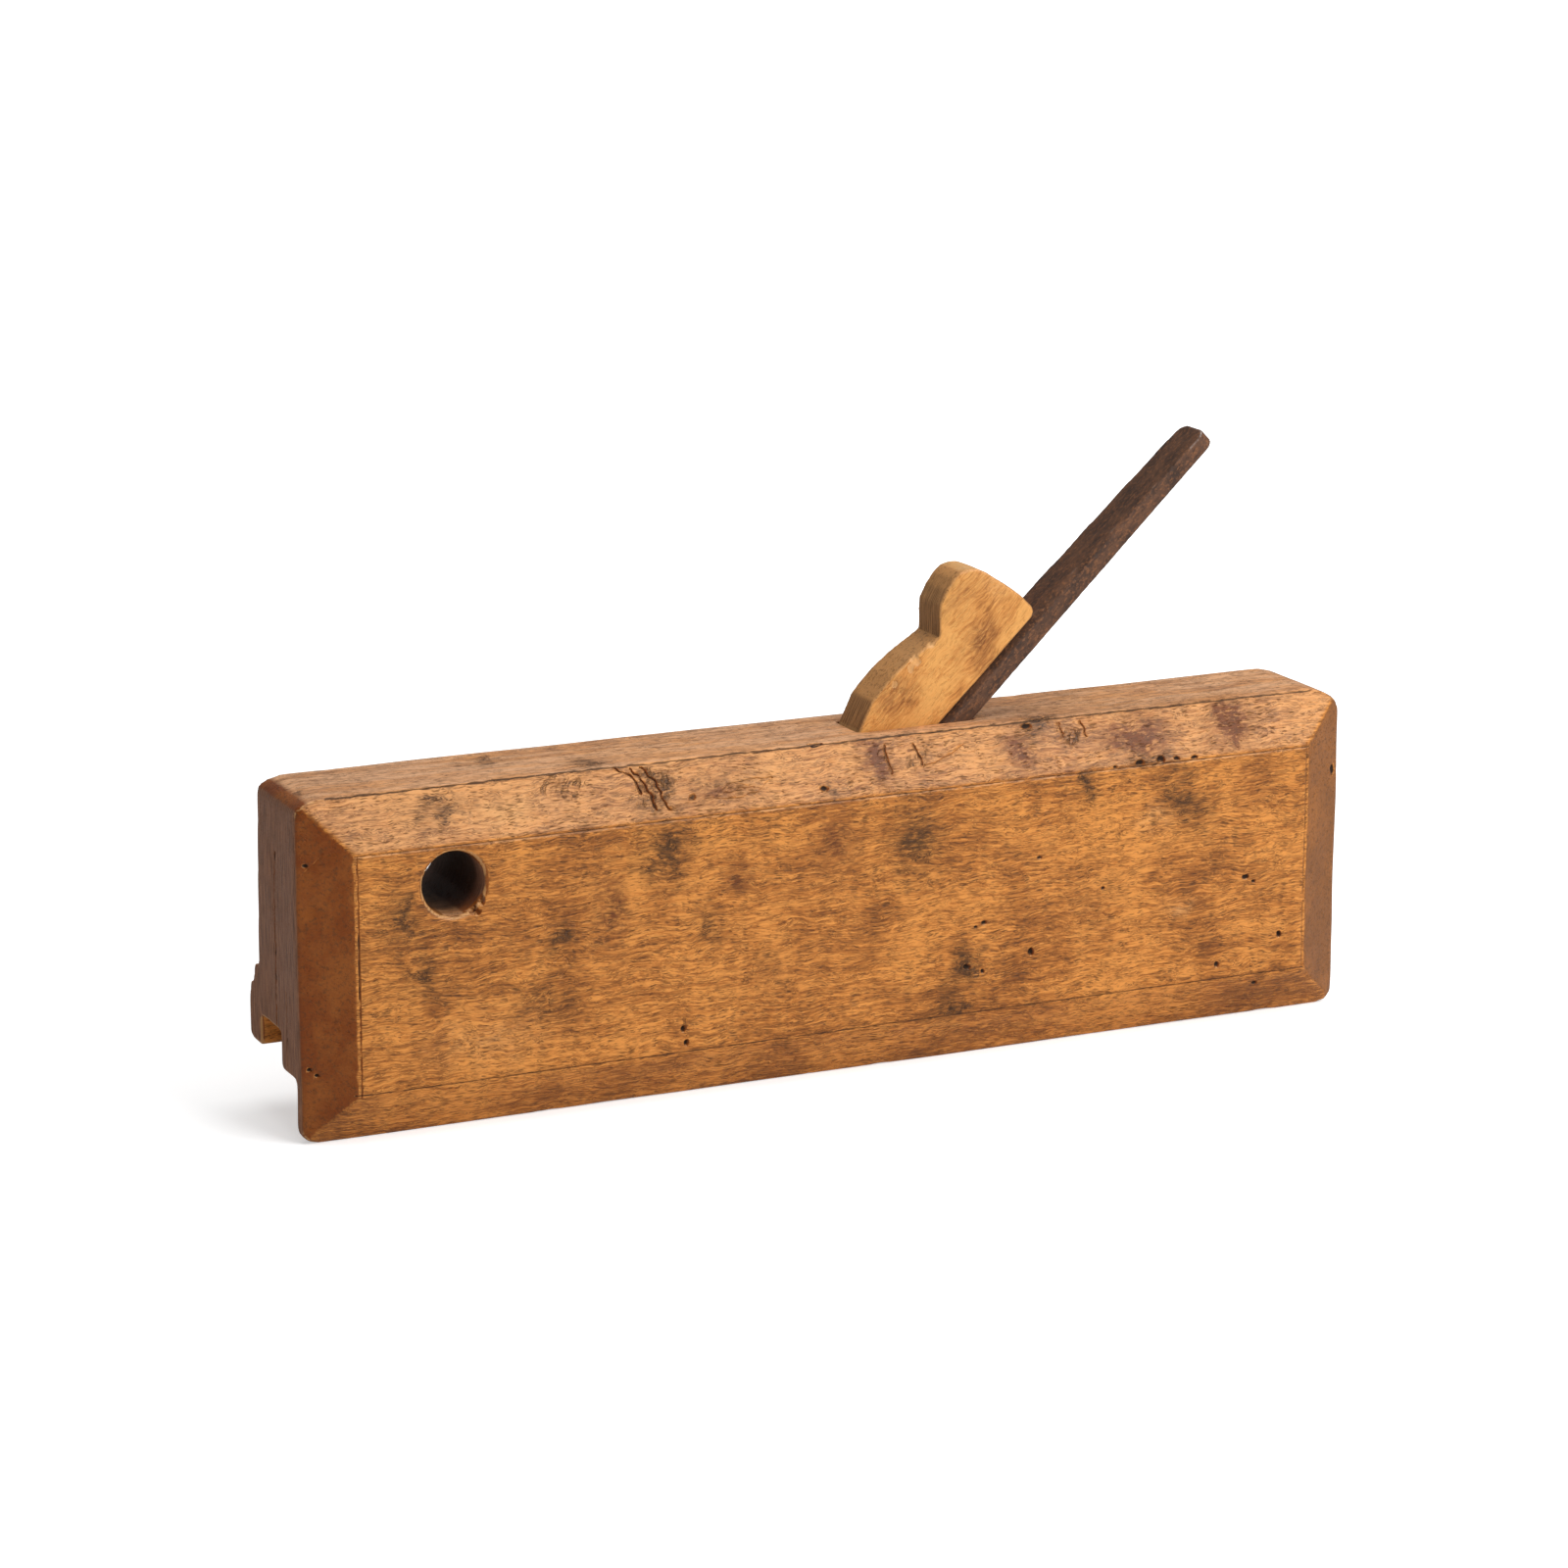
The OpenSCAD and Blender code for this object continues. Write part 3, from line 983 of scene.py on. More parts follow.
    def _lines(
        self, bench: Bench, where: Socket, pace: Point3, levels: Sequence[float], width: float
    ) -> Socket:
        """Draws thin lines that run along the grain of a noise.

        Args:
            bench: The finish's nodes.
            where: The coordinates, in millimetres.
            pace: How many waves there are in a millimetre, along each axis.
            levels: The heights of the noise that the lines follow.
            width: How wide they are, as a share of the noise's height.

        Returns:
            How strongly the lines show, from 0 to 1.
        """
        lines: Socket | float = 0.0
        wave = bench.noise(where, pace, 2.0, 0.55)
        for level in levels:
            gap = bench.sums("ABSOLUTE", bench.sums("SUBTRACT", wave, level))
            lines = bench.sums("MAXIMUM", lines, bench.spread(gap, 0.0, width, 1.0, 0.0))
        return lines


@dataclass(frozen=True)
class RustedIron:
    """A finish of hand-forged iron with an old brown rust."""

    name: str
    deep: Colour = (0.034, 0.015, 0.008)
    brown: Colour = (0.120, 0.052, 0.025)
    orange: Colour = (0.30, 0.115, 0.040)
    bright: Colour = (0.42, 0.40, 0.38)
    rough: float = 0.55
    gloss: float = 0.3
    mottle_pace: Point3 = (0.10, 0.22, 0.22)
    speck_pace: Point3 = (0.9, 1.6, 1.6)
    scale_pace: Point3 = (0.35, 0.8, 0.8)
    rust_cover: float = 0.55
    scale_cover: float = 0.55
    bright_cover: float = 0.65
    speck_depth: float = 0.10
    mottle_depth: float = 0.25

    def make(self) -> bpy.types.Material:
        """Makes the finish.

        Returns:
            The finished material.
        """
        bench = Bench(self.name)
        along = bench.turned(bench.where(), BED_PITCH)
        mottle = bench.noise(along, self.mottle_pace, 5.0, 0.68)
        speck = bench.noise(along, self.speck_pace, 4.0, 0.7)
        colour = bench.ramp(bench.spread(mottle, 0.30, 0.70), [(0.0, self.deep), (1.0, self.brown)])
        rusty = bench.spread(speck, 0.48, 0.68)
        colour = bench.blend(bench.sums("MULTIPLY", rusty, self.rust_cover), colour, self.orange)
        scale = bench.spread(bench.noise(along, self.scale_pace, 3.0, 0.6), 0.56, 0.66)
        colour = bench.blend(bench.sums("MULTIPLY", scale, self.scale_cover), colour, self.deep)
        rubbed = bench.sums("MULTIPLY", bench.kept("worn"), bench.spread(speck, 0.36, 0.52), clamp=True)
        colour = bench.blend(bench.sums("MULTIPLY", rubbed, self.bright_cover), colour, self.bright)
        rough = bench.spread(mottle, 0.3, 0.7, self.rough - 0.12, self.rough + 0.10)
        rough = bench.sums("MULTIPLY_ADD", rubbed, -0.30, rough, clamp=True)
        normal = bench.press(speck, self.speck_depth)
        normal = bench.press(mottle, self.mottle_depth, normal)
        node = bench.surface(colour, rough, normal, Specular_IOR_Level=self.gloss)
        bench.feed(node.inputs["Metallic"], bench.sums("MULTIPLY", rubbed, 0.8))
        return bench.material


def handled_arrises(points: np.ndarray, least: float, wavelength: float, seed: int) -> np.ndarray:
    """How much each arris has been eased by handling, more in some places than in others.

    Args:
        points: Places in millimetres.
        least: The middle of the easing, from 0 to 1.
        wavelength: Typical distance between worn places, in millimetres.
        seed: Chooses the places.

    Returns:
        One value per point, from 0 to 0.5.
    """
    return 0.5 * np.clip(least + 0.6 * swell(points, wavelength, seed), 0.0, 1.0)


@dataclass
class Stock:
    """The beech stock with its bevelled face, steps, mortise and throat."""

    grain: float = 0.75
    fine: float = 0.7
    triangles: int = 190_000
    dents: int = 260
    line_inset: float = 0.3
    hole_at: Point2 = (37.0, 60.9)
    hole_reach: float = 8.1
    seed: int = 41
    wear: Point2 = (0.10, 0.36)
    ease: float = 0.35
    ease_wave: float = 22.0
    unevenness: float = 0.10
    wave: float = 26.0
    deepest: float = 0.25
    mark_reach: float = 9.5
    # Painted shade inside the bore: how dark it gets and over which depths.
    bore_shade: float = 0.55
    bore_depth: Point2 = (1.6, 8.0)
    finish: Beech = field(default_factory=lambda: Beech("oiled_beech", stains=Stock.stains()))

    @staticmethod
    def stains() -> tuple[Stain, ...]:
        """The stains on the face, the bevels and the top.

        Returns:
            Every stain, with its place in millimetres.
        """
        soot, russet, rubbed, crazed = Tint.SOOT, Tint.RUSSET, Tint.RUBBED, Tint.CRAZED
        return (
            Stain(soot, (24, 0, 54), (9, 14, 13), 0.55),
            Stain(soot, (29, 0, 39), (10, 14, 9), 0.60),
            Stain(soot, (35, 3, 78), (13, 14, 5), 0.55),
            Stain(soot, (64, 0, 44), (6, 14, 10), 0.65),
            Stain(soot, (60, 0, 30), (14, 14, 9), 0.35),
            Stain(soot, (91, 0, 63), (13, 14, 14), 0.75),
            Stain(soot, (90, 3, 77), (6, 14, 8), 0.75),
            Stain(soot, (102, 0, 43), (4, 14, 9), 0.55),
            Stain(soot, (157, 0, 58), (12, 14, 18), 0.70),
            Stain(soot, (171, 0, 24), (8, 14, 9), 0.80),
            Stain(soot, (166, 0, 14), (7, 14, 9), 0.70),
            Stain(soot, (204, 0, 67), (5, 14, 8), 0.60),
            Stain(soot, (232, 0, 60), (10, 14, 19), 0.60, -30.0),
            Stain(soot, (134, 2, 72), (5, 12, 4), 0.60),
            Stain(soot, (75, 12, HEIGHT), (10, 9, 8), 0.70),
            Stain(soot, (54, 24, HEIGHT), (9, 9, 8), 0.60),
            Stain(soot, (192, 5, HEIGHT), (6, 6, 8), 0.80),
            Stain(soot, (222, 3, 71), (12, 8, 4), 0.60),
            Stain(russet, (76, 0, 52), (9, 14, 21), 0.75),
            Stain(russet, (109, 0, 53), (6, 14, 7), 0.80),
            Stain(russet, (135, 0, 60), (12, 14, 15), 0.65),
            Stain(russet, (106, 3, 76), (16, 12, 9), 0.75),
            Stain(russet, (147, 4, 78), (8, 12, 11), 1.20),
            Stain(russet, (188, 3, 76), (11, 12, 10), 1.05),
            Stain(russet, (219, 3, 77), (18, 12, 10), 1.25),
            Stain(russet, (246, 4, 78), (13, 12, 10), 1.30),
            Stain(russet, (118, 0, 28), (18, 14, 12), 0.30),
            Stain(russet, (205, 0, 36), (20, 14, 13), 0.28),
            Stain(russet, (253, 0, 62), (12, 14, 10), 0.35),
            Stain(rubbed, (224, 0, 56), (9, 12, 7), 0.32),
            Stain(rubbed, (231, 0, 33), (8, 12, 5), 0.32),
            Stain(rubbed, (52, 3, 76), (22, 12, 7), 0.35),
            Stain(rubbed, (45, 0, 22), (26, 12, 12), 0.22),
            Stain(rubbed, (112, 2, 78), (20, 12, 4), 0.25),
            Stain(crazed, (89, 3, 77.5), (11, 14, 8), 0.95),
            Stain(crazed, (67, 4, 80.5), (14, 14, 4), 0.80),
            Stain(crazed, (92, 0, 63), (7, 14, 9), 0.50),
            Stain(crazed, (159, 4, 78.5), (5, 14, 6), 0.60),
            Stain(crazed, (150, 4, 78), (4, 14, 6), 0.60),
            Stain(crazed, (202, 4, 80), (9, 14, 4), 0.50),
            Stain(crazed, (204, 0, 67), (4, 14, 6), 0.60),
            Stain(crazed, (171, 0, 24), (9, 14, 5), 0.70),
            Stain(crazed, (168, 0, 14), (9, 14, 5), 0.60),
            Stain(crazed, (25, 0, 54), (6, 14, 9), 0.42),
            Stain(crazed, (29, 0, 39), (6, 14, 6), 0.42),
            Stain(crazed, (95, 0, 19), (7, 14, 5), 0.45),
            Stain(crazed, (64, 0, 45), (6, 14, 8), 0.45),
            Stain(crazed, (54, 25, HEIGHT), (10, 9, 5), 0.55),
            Stain(crazed, (75, 11, HEIGHT), (11, 5, 5), 0.60),
            Stain(crazed, (196, 9, HEIGHT), (10, 6, 5), 0.60),
            Stain(crazed, (2, 20, HEIGHT - 3), (5, 18, 5), 0.80),
            Stain(crazed, (215, 40, 62), (18, 10, 12), 0.50),
        )

    def marks(self) -> list[Mark]:
        """The scribed border, cracks, wormholes and nicks.

        Returns:
            Every mark, with its place in millimetres.
        """
        low = BEVEL_BOTTOM + self.line_inset
        high = HEIGHT - BEVEL_TOP - self.line_inset
        toe = BEVEL_END + self.line_inset
        heel = LENGTH - BEVEL_END - self.line_inset
        face, top = Side.FACE, Side.TOP
        border = [
            Scar(face, ((toe - 1.5, low), (heel + 0.5, low)), 0.42, 0.22, 0.62),
            Scar(face, ((toe - 0.5, high), (heel + 1.0, high)), 0.36, 0.2, 0.55),
            Scar(face, ((toe, low - 1.0), (toe, high)), 0.34, 0.2, 0.38),
            Scar(face, ((toe, 36.0), (toe + 0.1, 52.0)), 0.44, 0.1, 0.6),
            Scar(face, ((heel, low), (heel, high + 1.0)), 0.34, 0.15, 0.38),
            Scar(face, ((8.0, HEIGHT - 0.5), (272.0, HEIGHT - 0.5)), 0.6, 0.03, 0.60, 0.1),
        ]
        cracks = [
            Scar(face, ((80, 82.8), (84, 80.6), (86, 77.0)), 0.51, 0.4, 0.54, 0.3),
            Scar(face, ((84, 82.6), (87.5, 78.4), (88.6, 73.4)), 0.55, 0.45, 0.6, 0.36),
            Scar(face, ((87, 82.3), (90.2, 78.0), (92, 72.8)), 0.51, 0.4, 0.6, 0.36),
            Scar(face, ((104, 74.2), (108, 76.4), (114, 77.4), (120, 77.1)), 0.27, 0.15, 0.42, 0.18),
            Scar(face, ((104, 74.2), (110, 73.5), (116, 74.5), (120, 77.1)), 0.27, 0.15, 0.36, 0.18),
            Scar(face, ((107, 74.8), (111, 75.6), (115, 75.2)), 0.29, 0.15, 0.42, 0.36),
            Scar(face, ((110, 76.6), (114, 75.9)), 0.26, 0.12, 0.36, 0.36),
            Scar(face, ((160, 75.6), (166, 77.0), (172, 79.4)), 0.3, 0.2, 0.48, 0.18),
            Scar(face, ((150.8, 81.2), (151.5, 75.0)), 0.42, 0.3, 0.54, 0.24),
            Scar(face, ((158.8, 81.4), (160, 76.0)), 0.47, 0.3, 0.54, 0.24),
            Scar(face, ((198.8, 82.0), (199.6, 78.8)), 0.36, 0.3, 0.48, 0.24),
            Scar(face, ((205, 81.7), (206, 78.3)), 0.36, 0.3, 0.48, 0.24),
            Scar(face, ((188, 27.4), (208, 29.6), (240, 33.0)), 0.29, 0.08, 0.21, 0.18),
            Scar(face, ((182, 33.0), (200, 35.2), (214, 36.0)), 0.26, 0.08, 0.18, 0.18),
            Scar(face, ((60.5, 50), (64, 51.6), (67, 49), (67.6, 45)), 0.29, 0.1, 0.27, 0.42),
            Scar(face, ((62, 47.5), (64.6, 48), (65.2, 44.6), (62.6, 43.2)), 0.29, 0.1, 0.3, 0.3),
            Scar(face, ((61, 38), (64, 40.2), (66.4, 37.4), (63.4, 35.4)), 0.34, 0.15, 0.42, 0.36),
            Scar(face, ((1.5, 66.0), (5.5, 70.2), (9.5, 71.4)), 0.26, 0.1, 0.24, 0.24),
            Scar(top, ((66, 9.0), (73, 10.4), (81, 9.4)), 0.51, 0.35, 0.54, 0.36),
            Scar(top, ((189, 8.0), (193, 6.8), (198, 7.4)), 0.51, 0.4, 0.54, 0.36),
            Scar(Side.TOE, ((21, 68), (21.8, 46), (23, 25)), 0.60, 0.5, 0.85, 0.18),
            Scar(Side.TOE, ((15, 35), (15.4, 17)), 0.45, 0.3, 0.85, 0.12),
            Scar(Side.HEEL, ((19, 62), (20.4, 40)), 0.42, 0.4, 0.54, 0.18),
            Scar(Side.STEPS, ((40, 70), (90, 71), (150, 69)), 0.31, 0.15, 0.3, 0.3),
        ]
        holes = [
            Pit(face, (95.0, 18.2), (0.7, 0.9), 0.9),
            Pit(face, (95.8, 14.6), (0.6, 0.9), 0.9),
            Pit(face, (191.0, 50.0), (0.8, 0.5), 0.5),
            Pit(face, (176.0, 35.0), (0.9, 0.6), 0.6),
            Pit(face, (173.6, 34.2), (0.5, 0.4), 0.4),
            Pit(face, (189.0, 26.0), (0.8, 1.1), 0.9),
            Pit(face, (171.2, 24.2), (1.1, 0.8), 0.8),
            Pit(face, (175.6, 22.6), (0.6, 0.7), 0.5),
            Pit(face, (209.0, 40.0), (0.6, 0.5), 0.4),
            Pit(face, (250.0, 38.2), (1.1, 0.7), 0.7),
            Pit(face, (252.2, 36.8), (0.6, 0.5), 0.5),
            Pit(face, (260.0, 22.0), (0.7, 0.9), 0.8),
            Pit(face, (242.0, 16.2), (0.7, 1.0), 0.6),
            Pit(face, (254.0, 9.4), (0.9, 0.6), 0.6),
            Pit(face, (219.0, 71.0), (1.6, 0.8), 0.8),
            Pit(face, (225.0, 71.3), (1.3, 0.9), 0.8),
            Pit(face, (229.6, 71.0), (0.9, 0.6), 0.6),
            Pit(face, (234.6, 70.9), (1.1, 0.5), 0.6),
            Pit(face, (212.0, 70.7), (0.8, 0.5), 0.5),
            Pit(face, (133.0, 73.4), (1.1, 0.8), 0.5),
            Pit(face, (98.6, 74.6), (1.2, 0.8), 0.3, 0.6, 30.0),
            Pit(face, (190.0, 82.0), (1.5, 0.8), 0.6),
            Pit(face, (2.2, 18.6), (0.6, 0.6), 0.7),
            Pit(face, (3.8, 17.2), (0.7, 0.6), 0.7),
            Pit(face, (2.4, 68.0), (0.8, 0.5), 0.5),
            Pit(top, (133.0, 6.9), (2.2, 0.8), 0.7),
            Pit(face, (41.6, 54.2), (1.8, 1.2), 1.6, 0.35, -30.0),
            Pit(face, (43.6, 56.4), (0.9, 1.4), 1.1, 0.3),
            Pit(face, (277.6, 62.0), (0.8, 1.6), 0.6),
        ]
        return border + cracks + holes

    def _dented(self, points: np.ndarray) -> np.ndarray:
        """Small bruises over the whole stock, from years on the bench.

        Args:
            points: The skin's points, in millimetres.

        Returns:
            How deep each point is pressed in, in millimetres.
        """
        rng = np.random.default_rng(self.seed)
        pressed = np.zeros(len(points))
        for spot in points[rng.integers(0, len(points), self.dents)]:
            reach = rng.uniform(0.9, 3.4)
            deep = rng.uniform(0.05, 0.20)
            near = np.nonzero(np.abs(points - spot).max(axis=1) < reach)[0]
            share = np.linalg.norm(points[near] - spot, axis=1) / reach
            pressed[near] = np.maximum(pressed[near], deep * np.clip(1.0 - share**2, 0.0, 1.0))
        return pressed

    def build(self) -> bpy.types.Object:
        """Builds and dresses the stock.

        Returns:
            The finished piece.
        """
        skin = Skin("stock", "beech_stock", self.grain)
        points = skin.points()
        skin.round_over(2)
        skin.round_over(3, handled_arrises(points, self.ease, self.ease_wave, self.seed))
        skin.keep_inside()
        skin.paint("worn", smooth_step(*self.wear, skin.depth()))
        marks = self.marks()

        def near_marks(at: np.ndarray, facing: np.ndarray) -> np.ndarray:
            """Finds where the mesh has to be fine enough for the marks.

            Args:
                at: Places in millimetres.
                facing: The way the surface faces there.

            Returns:
                True close to a mark.
            """
            found = np.zeros(len(at), bool)
            for mark, close in around(marks, at, facing):
                found[close] |= mark.distance(at[close]) < self.fine
            return found

        skin.refine(near_marks, 2)
        points, facing = skin.points(), skin.facing()
        along_fibres = points * (0.35, 1.0, 1.0)
        uneven = self.unevenness * (1.0 + swell(along_fibres, self.wave, self.seed + 1))
        cut = np.clip(uneven, 0.0, self.deepest) + self._dented(points)
        for mark, close in around(marks, points, facing):
            cut[close] += mark.depth * mark.shape(points[close])
        skin.set_points(points - facing * cut[:, None])
        skin.lighten(self.triangles)
        points, facing = skin.points(), skin.facing()
        # Darkens the marks, darkest in their middles: dirt and painted shade in the hollows.
        grime_and_shade = np.zeros(len(points))
        for mark, close in around(marks, points, facing, self.mark_reach):
            grime_and_shade[close] = np.maximum(grime_and_shade[close], mark.dark * mark.shape(points[close]))
        # Painted shade in the bore, darker the deeper in.
        bore = np.hypot(points[:, 0] - self.hole_at[0], points[:, 2] - self.hole_at[1]) < self.hole_reach
        bore_shade_amount = self.bore_shade * smooth_step(*self.bore_depth, points[bore, 1])
        grime_and_shade[bore] = np.maximum(grime_and_shade[bore], bore_shade_amount)
        skin.paint("grime_and_shade", grime_and_shade)
        return dress(skin.obj, self.finish.make(), "stock", "stock")


@dataclass
class Wedge:
    """The beech wedge with its rounded knob."""

    grain: float = 0.4
    seed: int = 7
    wear: Point2 = (0.10, 0.34)
    ease: float = 0.4
    ease_wave: float = 14.0
    unevenness: float = 0.05
    wave: float = 9.0
    deepest: float = 0.12
    chip_depth: float = 0.35
    chip_wave: float = 1.4
    chip_raggedness: float = 0.35
    chip_paleness: float = 1.6
    chips: tuple[tuple[Point3, float], ...] = (
        ((163.4, 13.4, 99.6), 1.5),
        ((162.0, 13.4, 98.2), 1.1),
        ((167.4, 13.4, 103.6), 1.2),
        ((169.0, 13.4, 105.4), 0.8),
        ((157.6, 13.4, 94.2), 0.9),
    )
    finish: Beech = field(
        default_factory=lambda: Beech(
            "wedge_beech",
            light=(0.72, 0.345, 0.095),
            middle=(0.60, 0.250, 0.060),
            dark=(0.32, 0.115, 0.024),
            end_grain=(0.50, 0.250, 0.095),
            # Colours of the wedge's faces turned along its length: partly its finish, partly painted shade.
            handled_and_shaded=(0.50, 0.250, 0.090),
            heel=(0.40, 0.190, 0.062),
            # Painted sheen colour for the wedge's upward-facing faces.
            top=(0.56, 0.33, 0.14),
            flecks=0.14,
            hairs=0.22,
            stains=Wedge.stains(),
            turn=BED_PITCH,
        )
    )

    @staticmethod
    def stains() -> tuple[Stain, ...]:
        """The thumb marks and bruises on the wedge.

        Returns:
            Every stain, with its place in millimetres.
        """
        soot, russet, rubbed = Tint.SOOT, Tint.RUSSET, Tint.RUBBED
        return (
            Stain(russet, (180, 13, 103), (12, 6, 8), 0.60, -40.0),
            Stain(russet, (184, 13, 97), (7, 6, 6), 0.50),
            Stain(russet, (174, 13, 114), (12, 6, 9), 0.40, -40.0),
            Stain(russet, (159, 13, 92), (10, 6, 9), 0.45),
            Stain(soot, (166, 18, 122), (8, 12, 7), 0.90),
            Stain(soot, (163, 18, 116), (6, 12, 6), 0.60),
            Stain(soot, (160, 18, 111), (7, 12, 5), 0.90),
            Stain(rubbed, (186, 13, 118), (12, 5, 6), 0.45, 30.0),
        )

    def build(self) -> bpy.types.Object:
        """Builds and dresses the wedge.

        Returns:
            The finished piece.
        """
        skin = Skin("wedge", "beech_wedge", self.grain, BED_PITCH)
        points = skin.points()
        skin.round_over(2)
        skin.round_over(4, handled_arrises(points, self.ease, self.ease_wave, self.seed))
        skin.keep_inside()
        points, facing = skin.points(), skin.facing()
        uneven = self.unevenness * (1.0 + swell(points, self.wave, self.seed + 1))
        cut = np.clip(uneven, 0.0, self.deepest)
        chipped = np.zeros(len(points))
        for centre, reach in self.chips:
            away = np.linalg.norm(points - centre, axis=1) / reach
            away += self.chip_raggedness * swell(points, self.chip_wave, self.seed + 2)
            chipped = np.maximum(chipped, smooth_step(1.0, 0.6, away))
        worn = smooth_step(*self.wear, skin.depth())
        skin.set_points(points - facing * (cut + self.chip_depth * chipped)[:, None])
        skin.paint("grime_and_shade", np.zeros(len(points)))
        skin.paint("worn", np.maximum(worn, self.chip_paleness * chipped))
        return dress(skin.obj, self.finish.make(), "wedge", "wedge")


@dataclass
class Iron:
    """The forged iron, from its struck end down to the cutting edge."""

    grain: float = 0.45
    seed: int = 19
    wear: Point2 = (0.08, 0.22)
    unevenness: float = 0.03
    wave: float = 18.0
    deepest_wave: float = 0.18
    pit: float = 1.8
    pit_waves: int = 24
    deepest_pit: float = 0.12
    finish: RustedIron = field(default_factory=lambda: RustedIron("brown_rust"))

    def build(self) -> bpy.types.Object:
        """Builds and dresses the iron.

        Returns:
            The finished piece.
        """
        skin = Skin("iron", "forged_iron", self.grain, BED_PITCH)
        skin.round_over(2, 0.4)
        skin.keep_inside()
        worn = smooth_step(*self.wear, skin.depth())
        points, facing = skin.points(), skin.facing()
        forged = self.unevenness * (1.0 + swell(points, self.wave, self.seed))
        pitted = self.unevenness * (1.0 + swell(points, self.pit, self.seed + 1, self.pit_waves))
        cut = np.clip(forged, 0.0, self.deepest_wave) + np.clip(pitted, 0.0, self.deepest_pit)
        skin.set_points(points - facing * cut[:, None])
        skin.paint("worn", worn)
        return dress(skin.obj, self.finish.make(), "iron", "iron")


def dress(
    obj: bpy.types.Object, material: bpy.types.Material, node: str, body: str
) -> bpy.types.Object:
    """Gives a piece its finish and ties it to the frame.

    Args:
        obj: The piece.
        material: Its finish.
        node: The CAD node that it stands for.
        body: The body that it rides on.

    Returns:
        The same piece.
    """
    obj.data.materials.clear()
    obj.data.materials.append(material)
    obj.data.shade_smooth()
    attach(obj, body)
    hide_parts(node)
    return obj


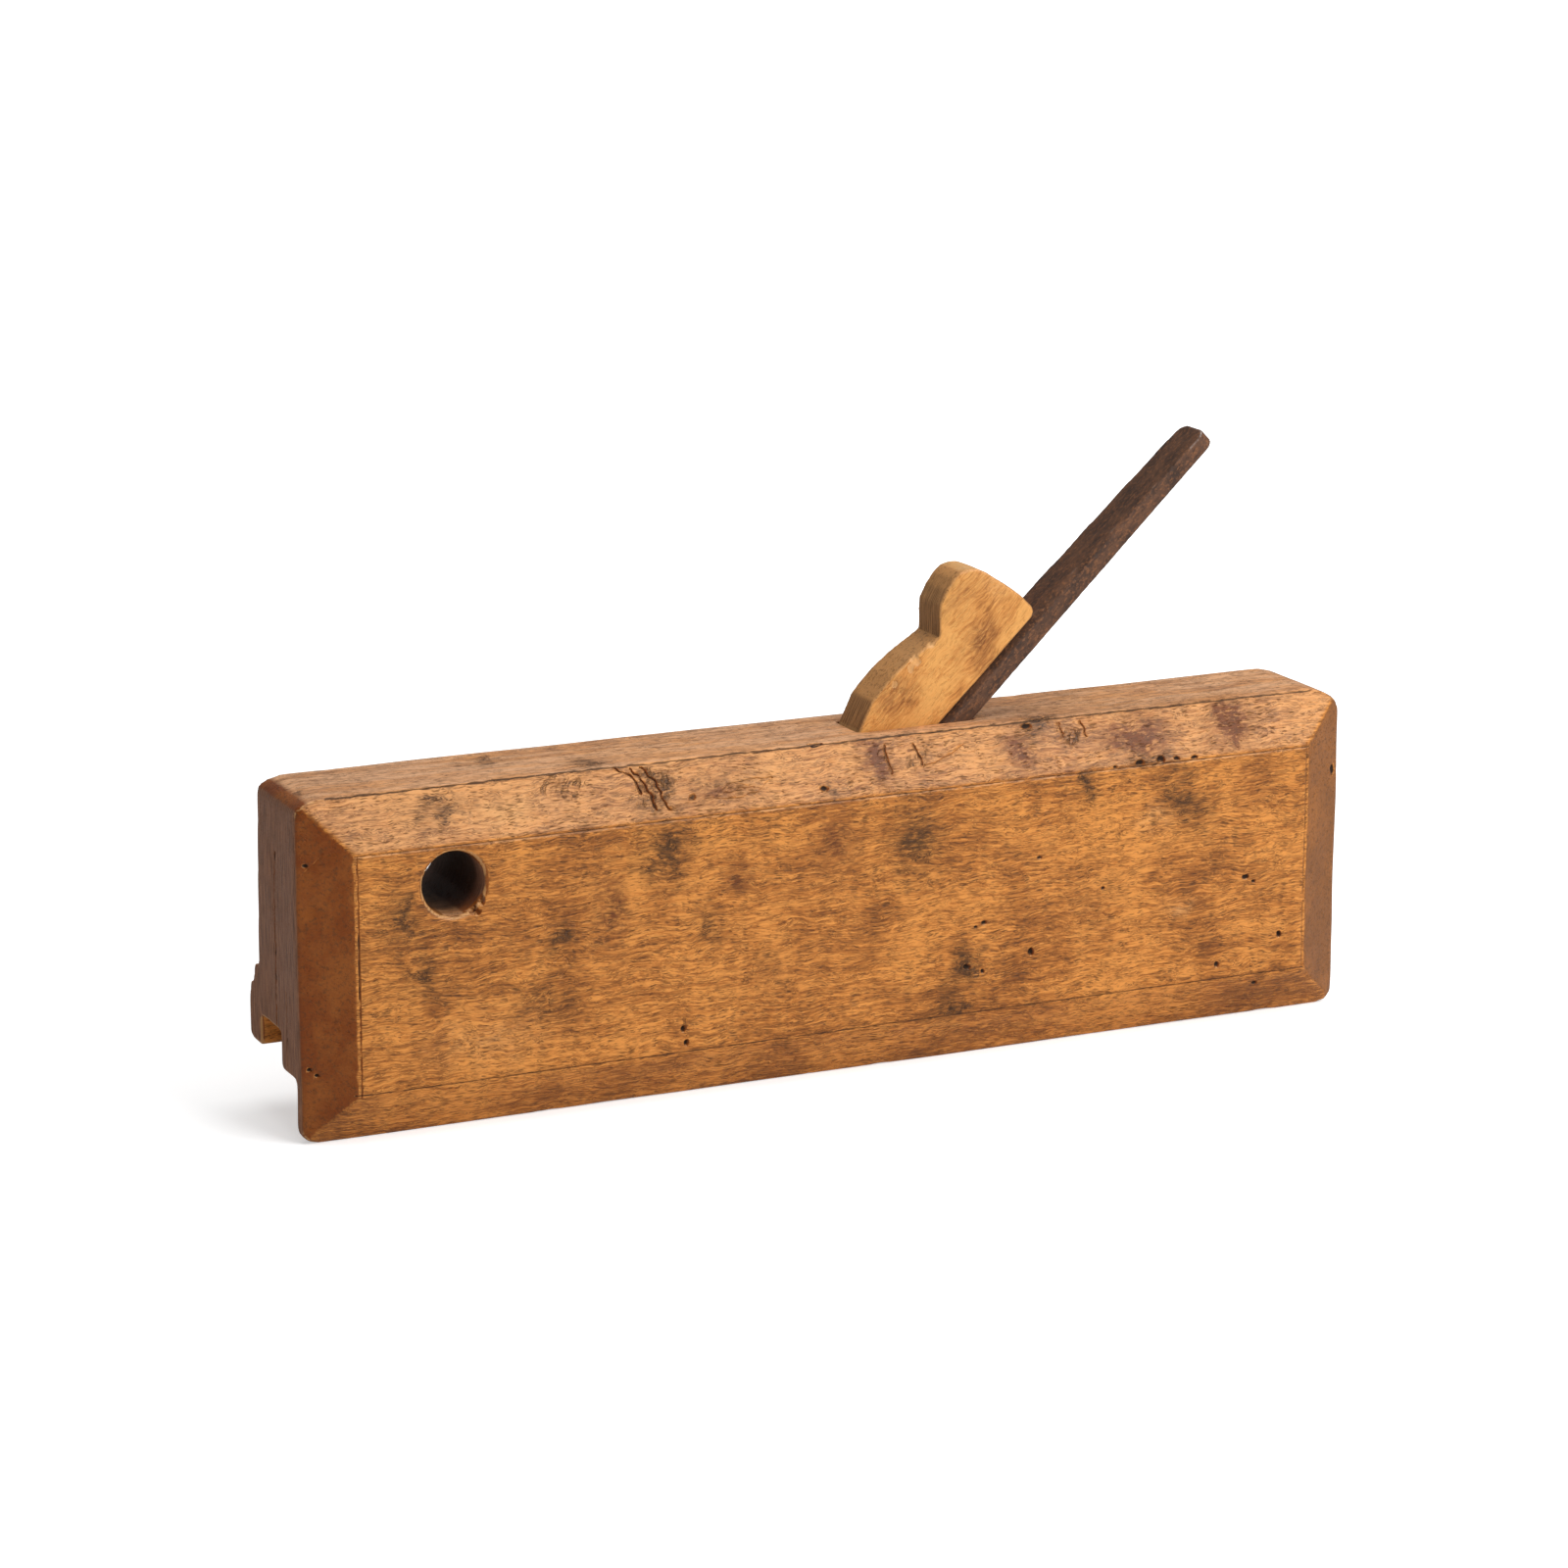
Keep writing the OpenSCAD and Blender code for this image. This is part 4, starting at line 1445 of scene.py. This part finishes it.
@dataclass
class Studio:
    """A plain pale floor under plain soft light."""

    floor_radius: float = 9.0
    lit_radius: float = 0.20
    far_radius: float = 0.75
    glow: float = 0.46
    sky: float = 0.27
    key_way: Point3 = (0.45, -0.70, 0.56)
    key_distance: float = 1.2
    key_size: Point2 = (0.9, 0.7)
    key_power: float = 12.5
    top_way: Point3 = (0.15, 0.05, 1.0)
    top_distance: float = 1.3
    top_size: Point2 = (1.2, 1.2)
    top_power: float = 10.5

    def build(self) -> None:
        """Lays the floor and sets up the sky and the lights."""
        self._floor()
        self._sky()
        self._softbox("key_light", self.key_way, self.key_distance, self.key_size, self.key_power)
        self._softbox("top_light", self.top_way, self.top_distance, self.top_size, self.top_power)
        bpy.context.scene.view_settings.view_transform = "Standard"

    def _floor(self) -> None:
        """Lays a round floor that turns plain white away from the plane."""
        mesh = bpy.data.meshes.new("floor")
        work = bmesh.new()
        bmesh.ops.create_circle(work, cap_ends=True, segments=96, radius=self.floor_radius)
        work.to_mesh(mesh)
        work.free()
        floor = bpy.data.objects.new("floor", mesh)
        bpy.context.scene.collection.objects.link(floor)
        floor.location.z = STOCK_LOW.z
        bench = Bench("white_floor")
        own = bench.add("TexCoord").outputs["Object"]
        far = bench.add("VectorMath", operation="LENGTH")
        bench.feed(far.inputs[0], own)
        share = bench.spread(far.outputs["Value"], self.lit_radius, self.far_radius)
        lit = bench.add("BsdfDiffuse")
        bench.feed(lit.inputs["Color"], (0.80, 0.80, 0.80))
        plain = bench.add("Emission")
        bench.feed(plain.inputs["Color"], (1.0, 1.0, 1.0))
        bright = bench.sums("MULTIPLY_ADD", share, 1.0 - self.glow, self.glow)
        seen = bench.add("LightPath").outputs["Is Camera Ray"]
        bench.feed(plain.inputs["Strength"], bench.sums("MULTIPLY", bright, seen))
        both = bench.add("AddShader")
        bench.feed(both.inputs[0], lit.outputs[0])
        bench.feed(both.inputs[1], plain.outputs[0])
        bench.feed(bench.add("OutputMaterial").inputs[0], both.outputs[0])
        mesh.materials.append(bench.material)

    def _sky(self) -> None:
        """Fills the room with an even white, brighter where it is looked at."""
        world = bpy.data.worlds.new("white_room")
        bpy.context.scene.world = world
        world.use_nodes = True
        tree = world.node_tree
        tree.nodes.clear()
        path = tree.nodes.new("ShaderNodeLightPath")
        level = tree.nodes.new("ShaderNodeMapRange")
        level.inputs["To Min"].default_value = self.sky
        level.inputs["To Max"].default_value = 1.0
        back = tree.nodes.new("ShaderNodeBackground")
        back.inputs["Color"].default_value = (1.0, 1.0, 1.0, 1.0)
        out = tree.nodes.new("ShaderNodeOutputWorld")
        tree.links.new(path.outputs["Is Camera Ray"], level.inputs["Value"])
        tree.links.new(level.outputs[0], back.inputs["Strength"])
        tree.links.new(back.outputs[0], out.inputs[0])

    def _softbox(self, name: str, way: Point3, distance: float, size: Point2, power: float) -> None:
        """Hangs a soft light that looks at the plane.

        Args:
            name: The light's name.
            way: The direction from the plane to the light.
            distance: How far away it hangs, in metres.
            size: Its width and height, in metres.
            power: Its power, in watts.
        """
        light = bpy.data.lights.new(name, "AREA")
        light.shape = "RECTANGLE"
        light.size, light.size_y = size
        light.energy = power
        lamp = bpy.data.objects.new(name, light)
        bpy.context.scene.collection.objects.link(lamp)
        towards = Vector(way).normalized()
        lamp.location = Vector((0.0, 0.0, 0.5 * HEIGHT * MM)) + towards * distance
        lamp.rotation_euler = (-towards).to_track_quat("-Z", "Y").to_euler()


@dataclass
class Viewpoint:
    """The camera, set by what it looks at and from where."""

    eye: Point3 = (-0.4882, -1.0404, 0.3627)
    aim: Point3 = (-0.0184, -0.0217, 0.0761)
    lens: float = 110.96
    sensor: float = 36.0

    def build(self) -> None:
        """Sets up the camera."""
        data = bpy.data.cameras.new("camera")
        data.lens = self.lens
        data.sensor_width = self.sensor
        camera = bpy.data.objects.new("camera", data)
        bpy.context.scene.collection.objects.link(camera)
        camera.location = self.eye
        look = Vector(self.aim) - Vector(self.eye)
        camera.rotation_euler = look.to_track_quat("-Z", "Y").to_euler()
        bpy.context.scene.camera = camera


def main() -> None:
    """Builds the plane, its floor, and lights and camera."""
    logging.basicConfig(level=logging.INFO, format="%(name)s: %(message)s")
    Viewpoint().build()
    Studio().build()
    for part in (Stock(), Iron(), Wedge()):
        piece = part.build()
        LOG.info("%s: %d faces", piece.name, len(piece.data.polygons))


if __name__ == "__main__":
    main()
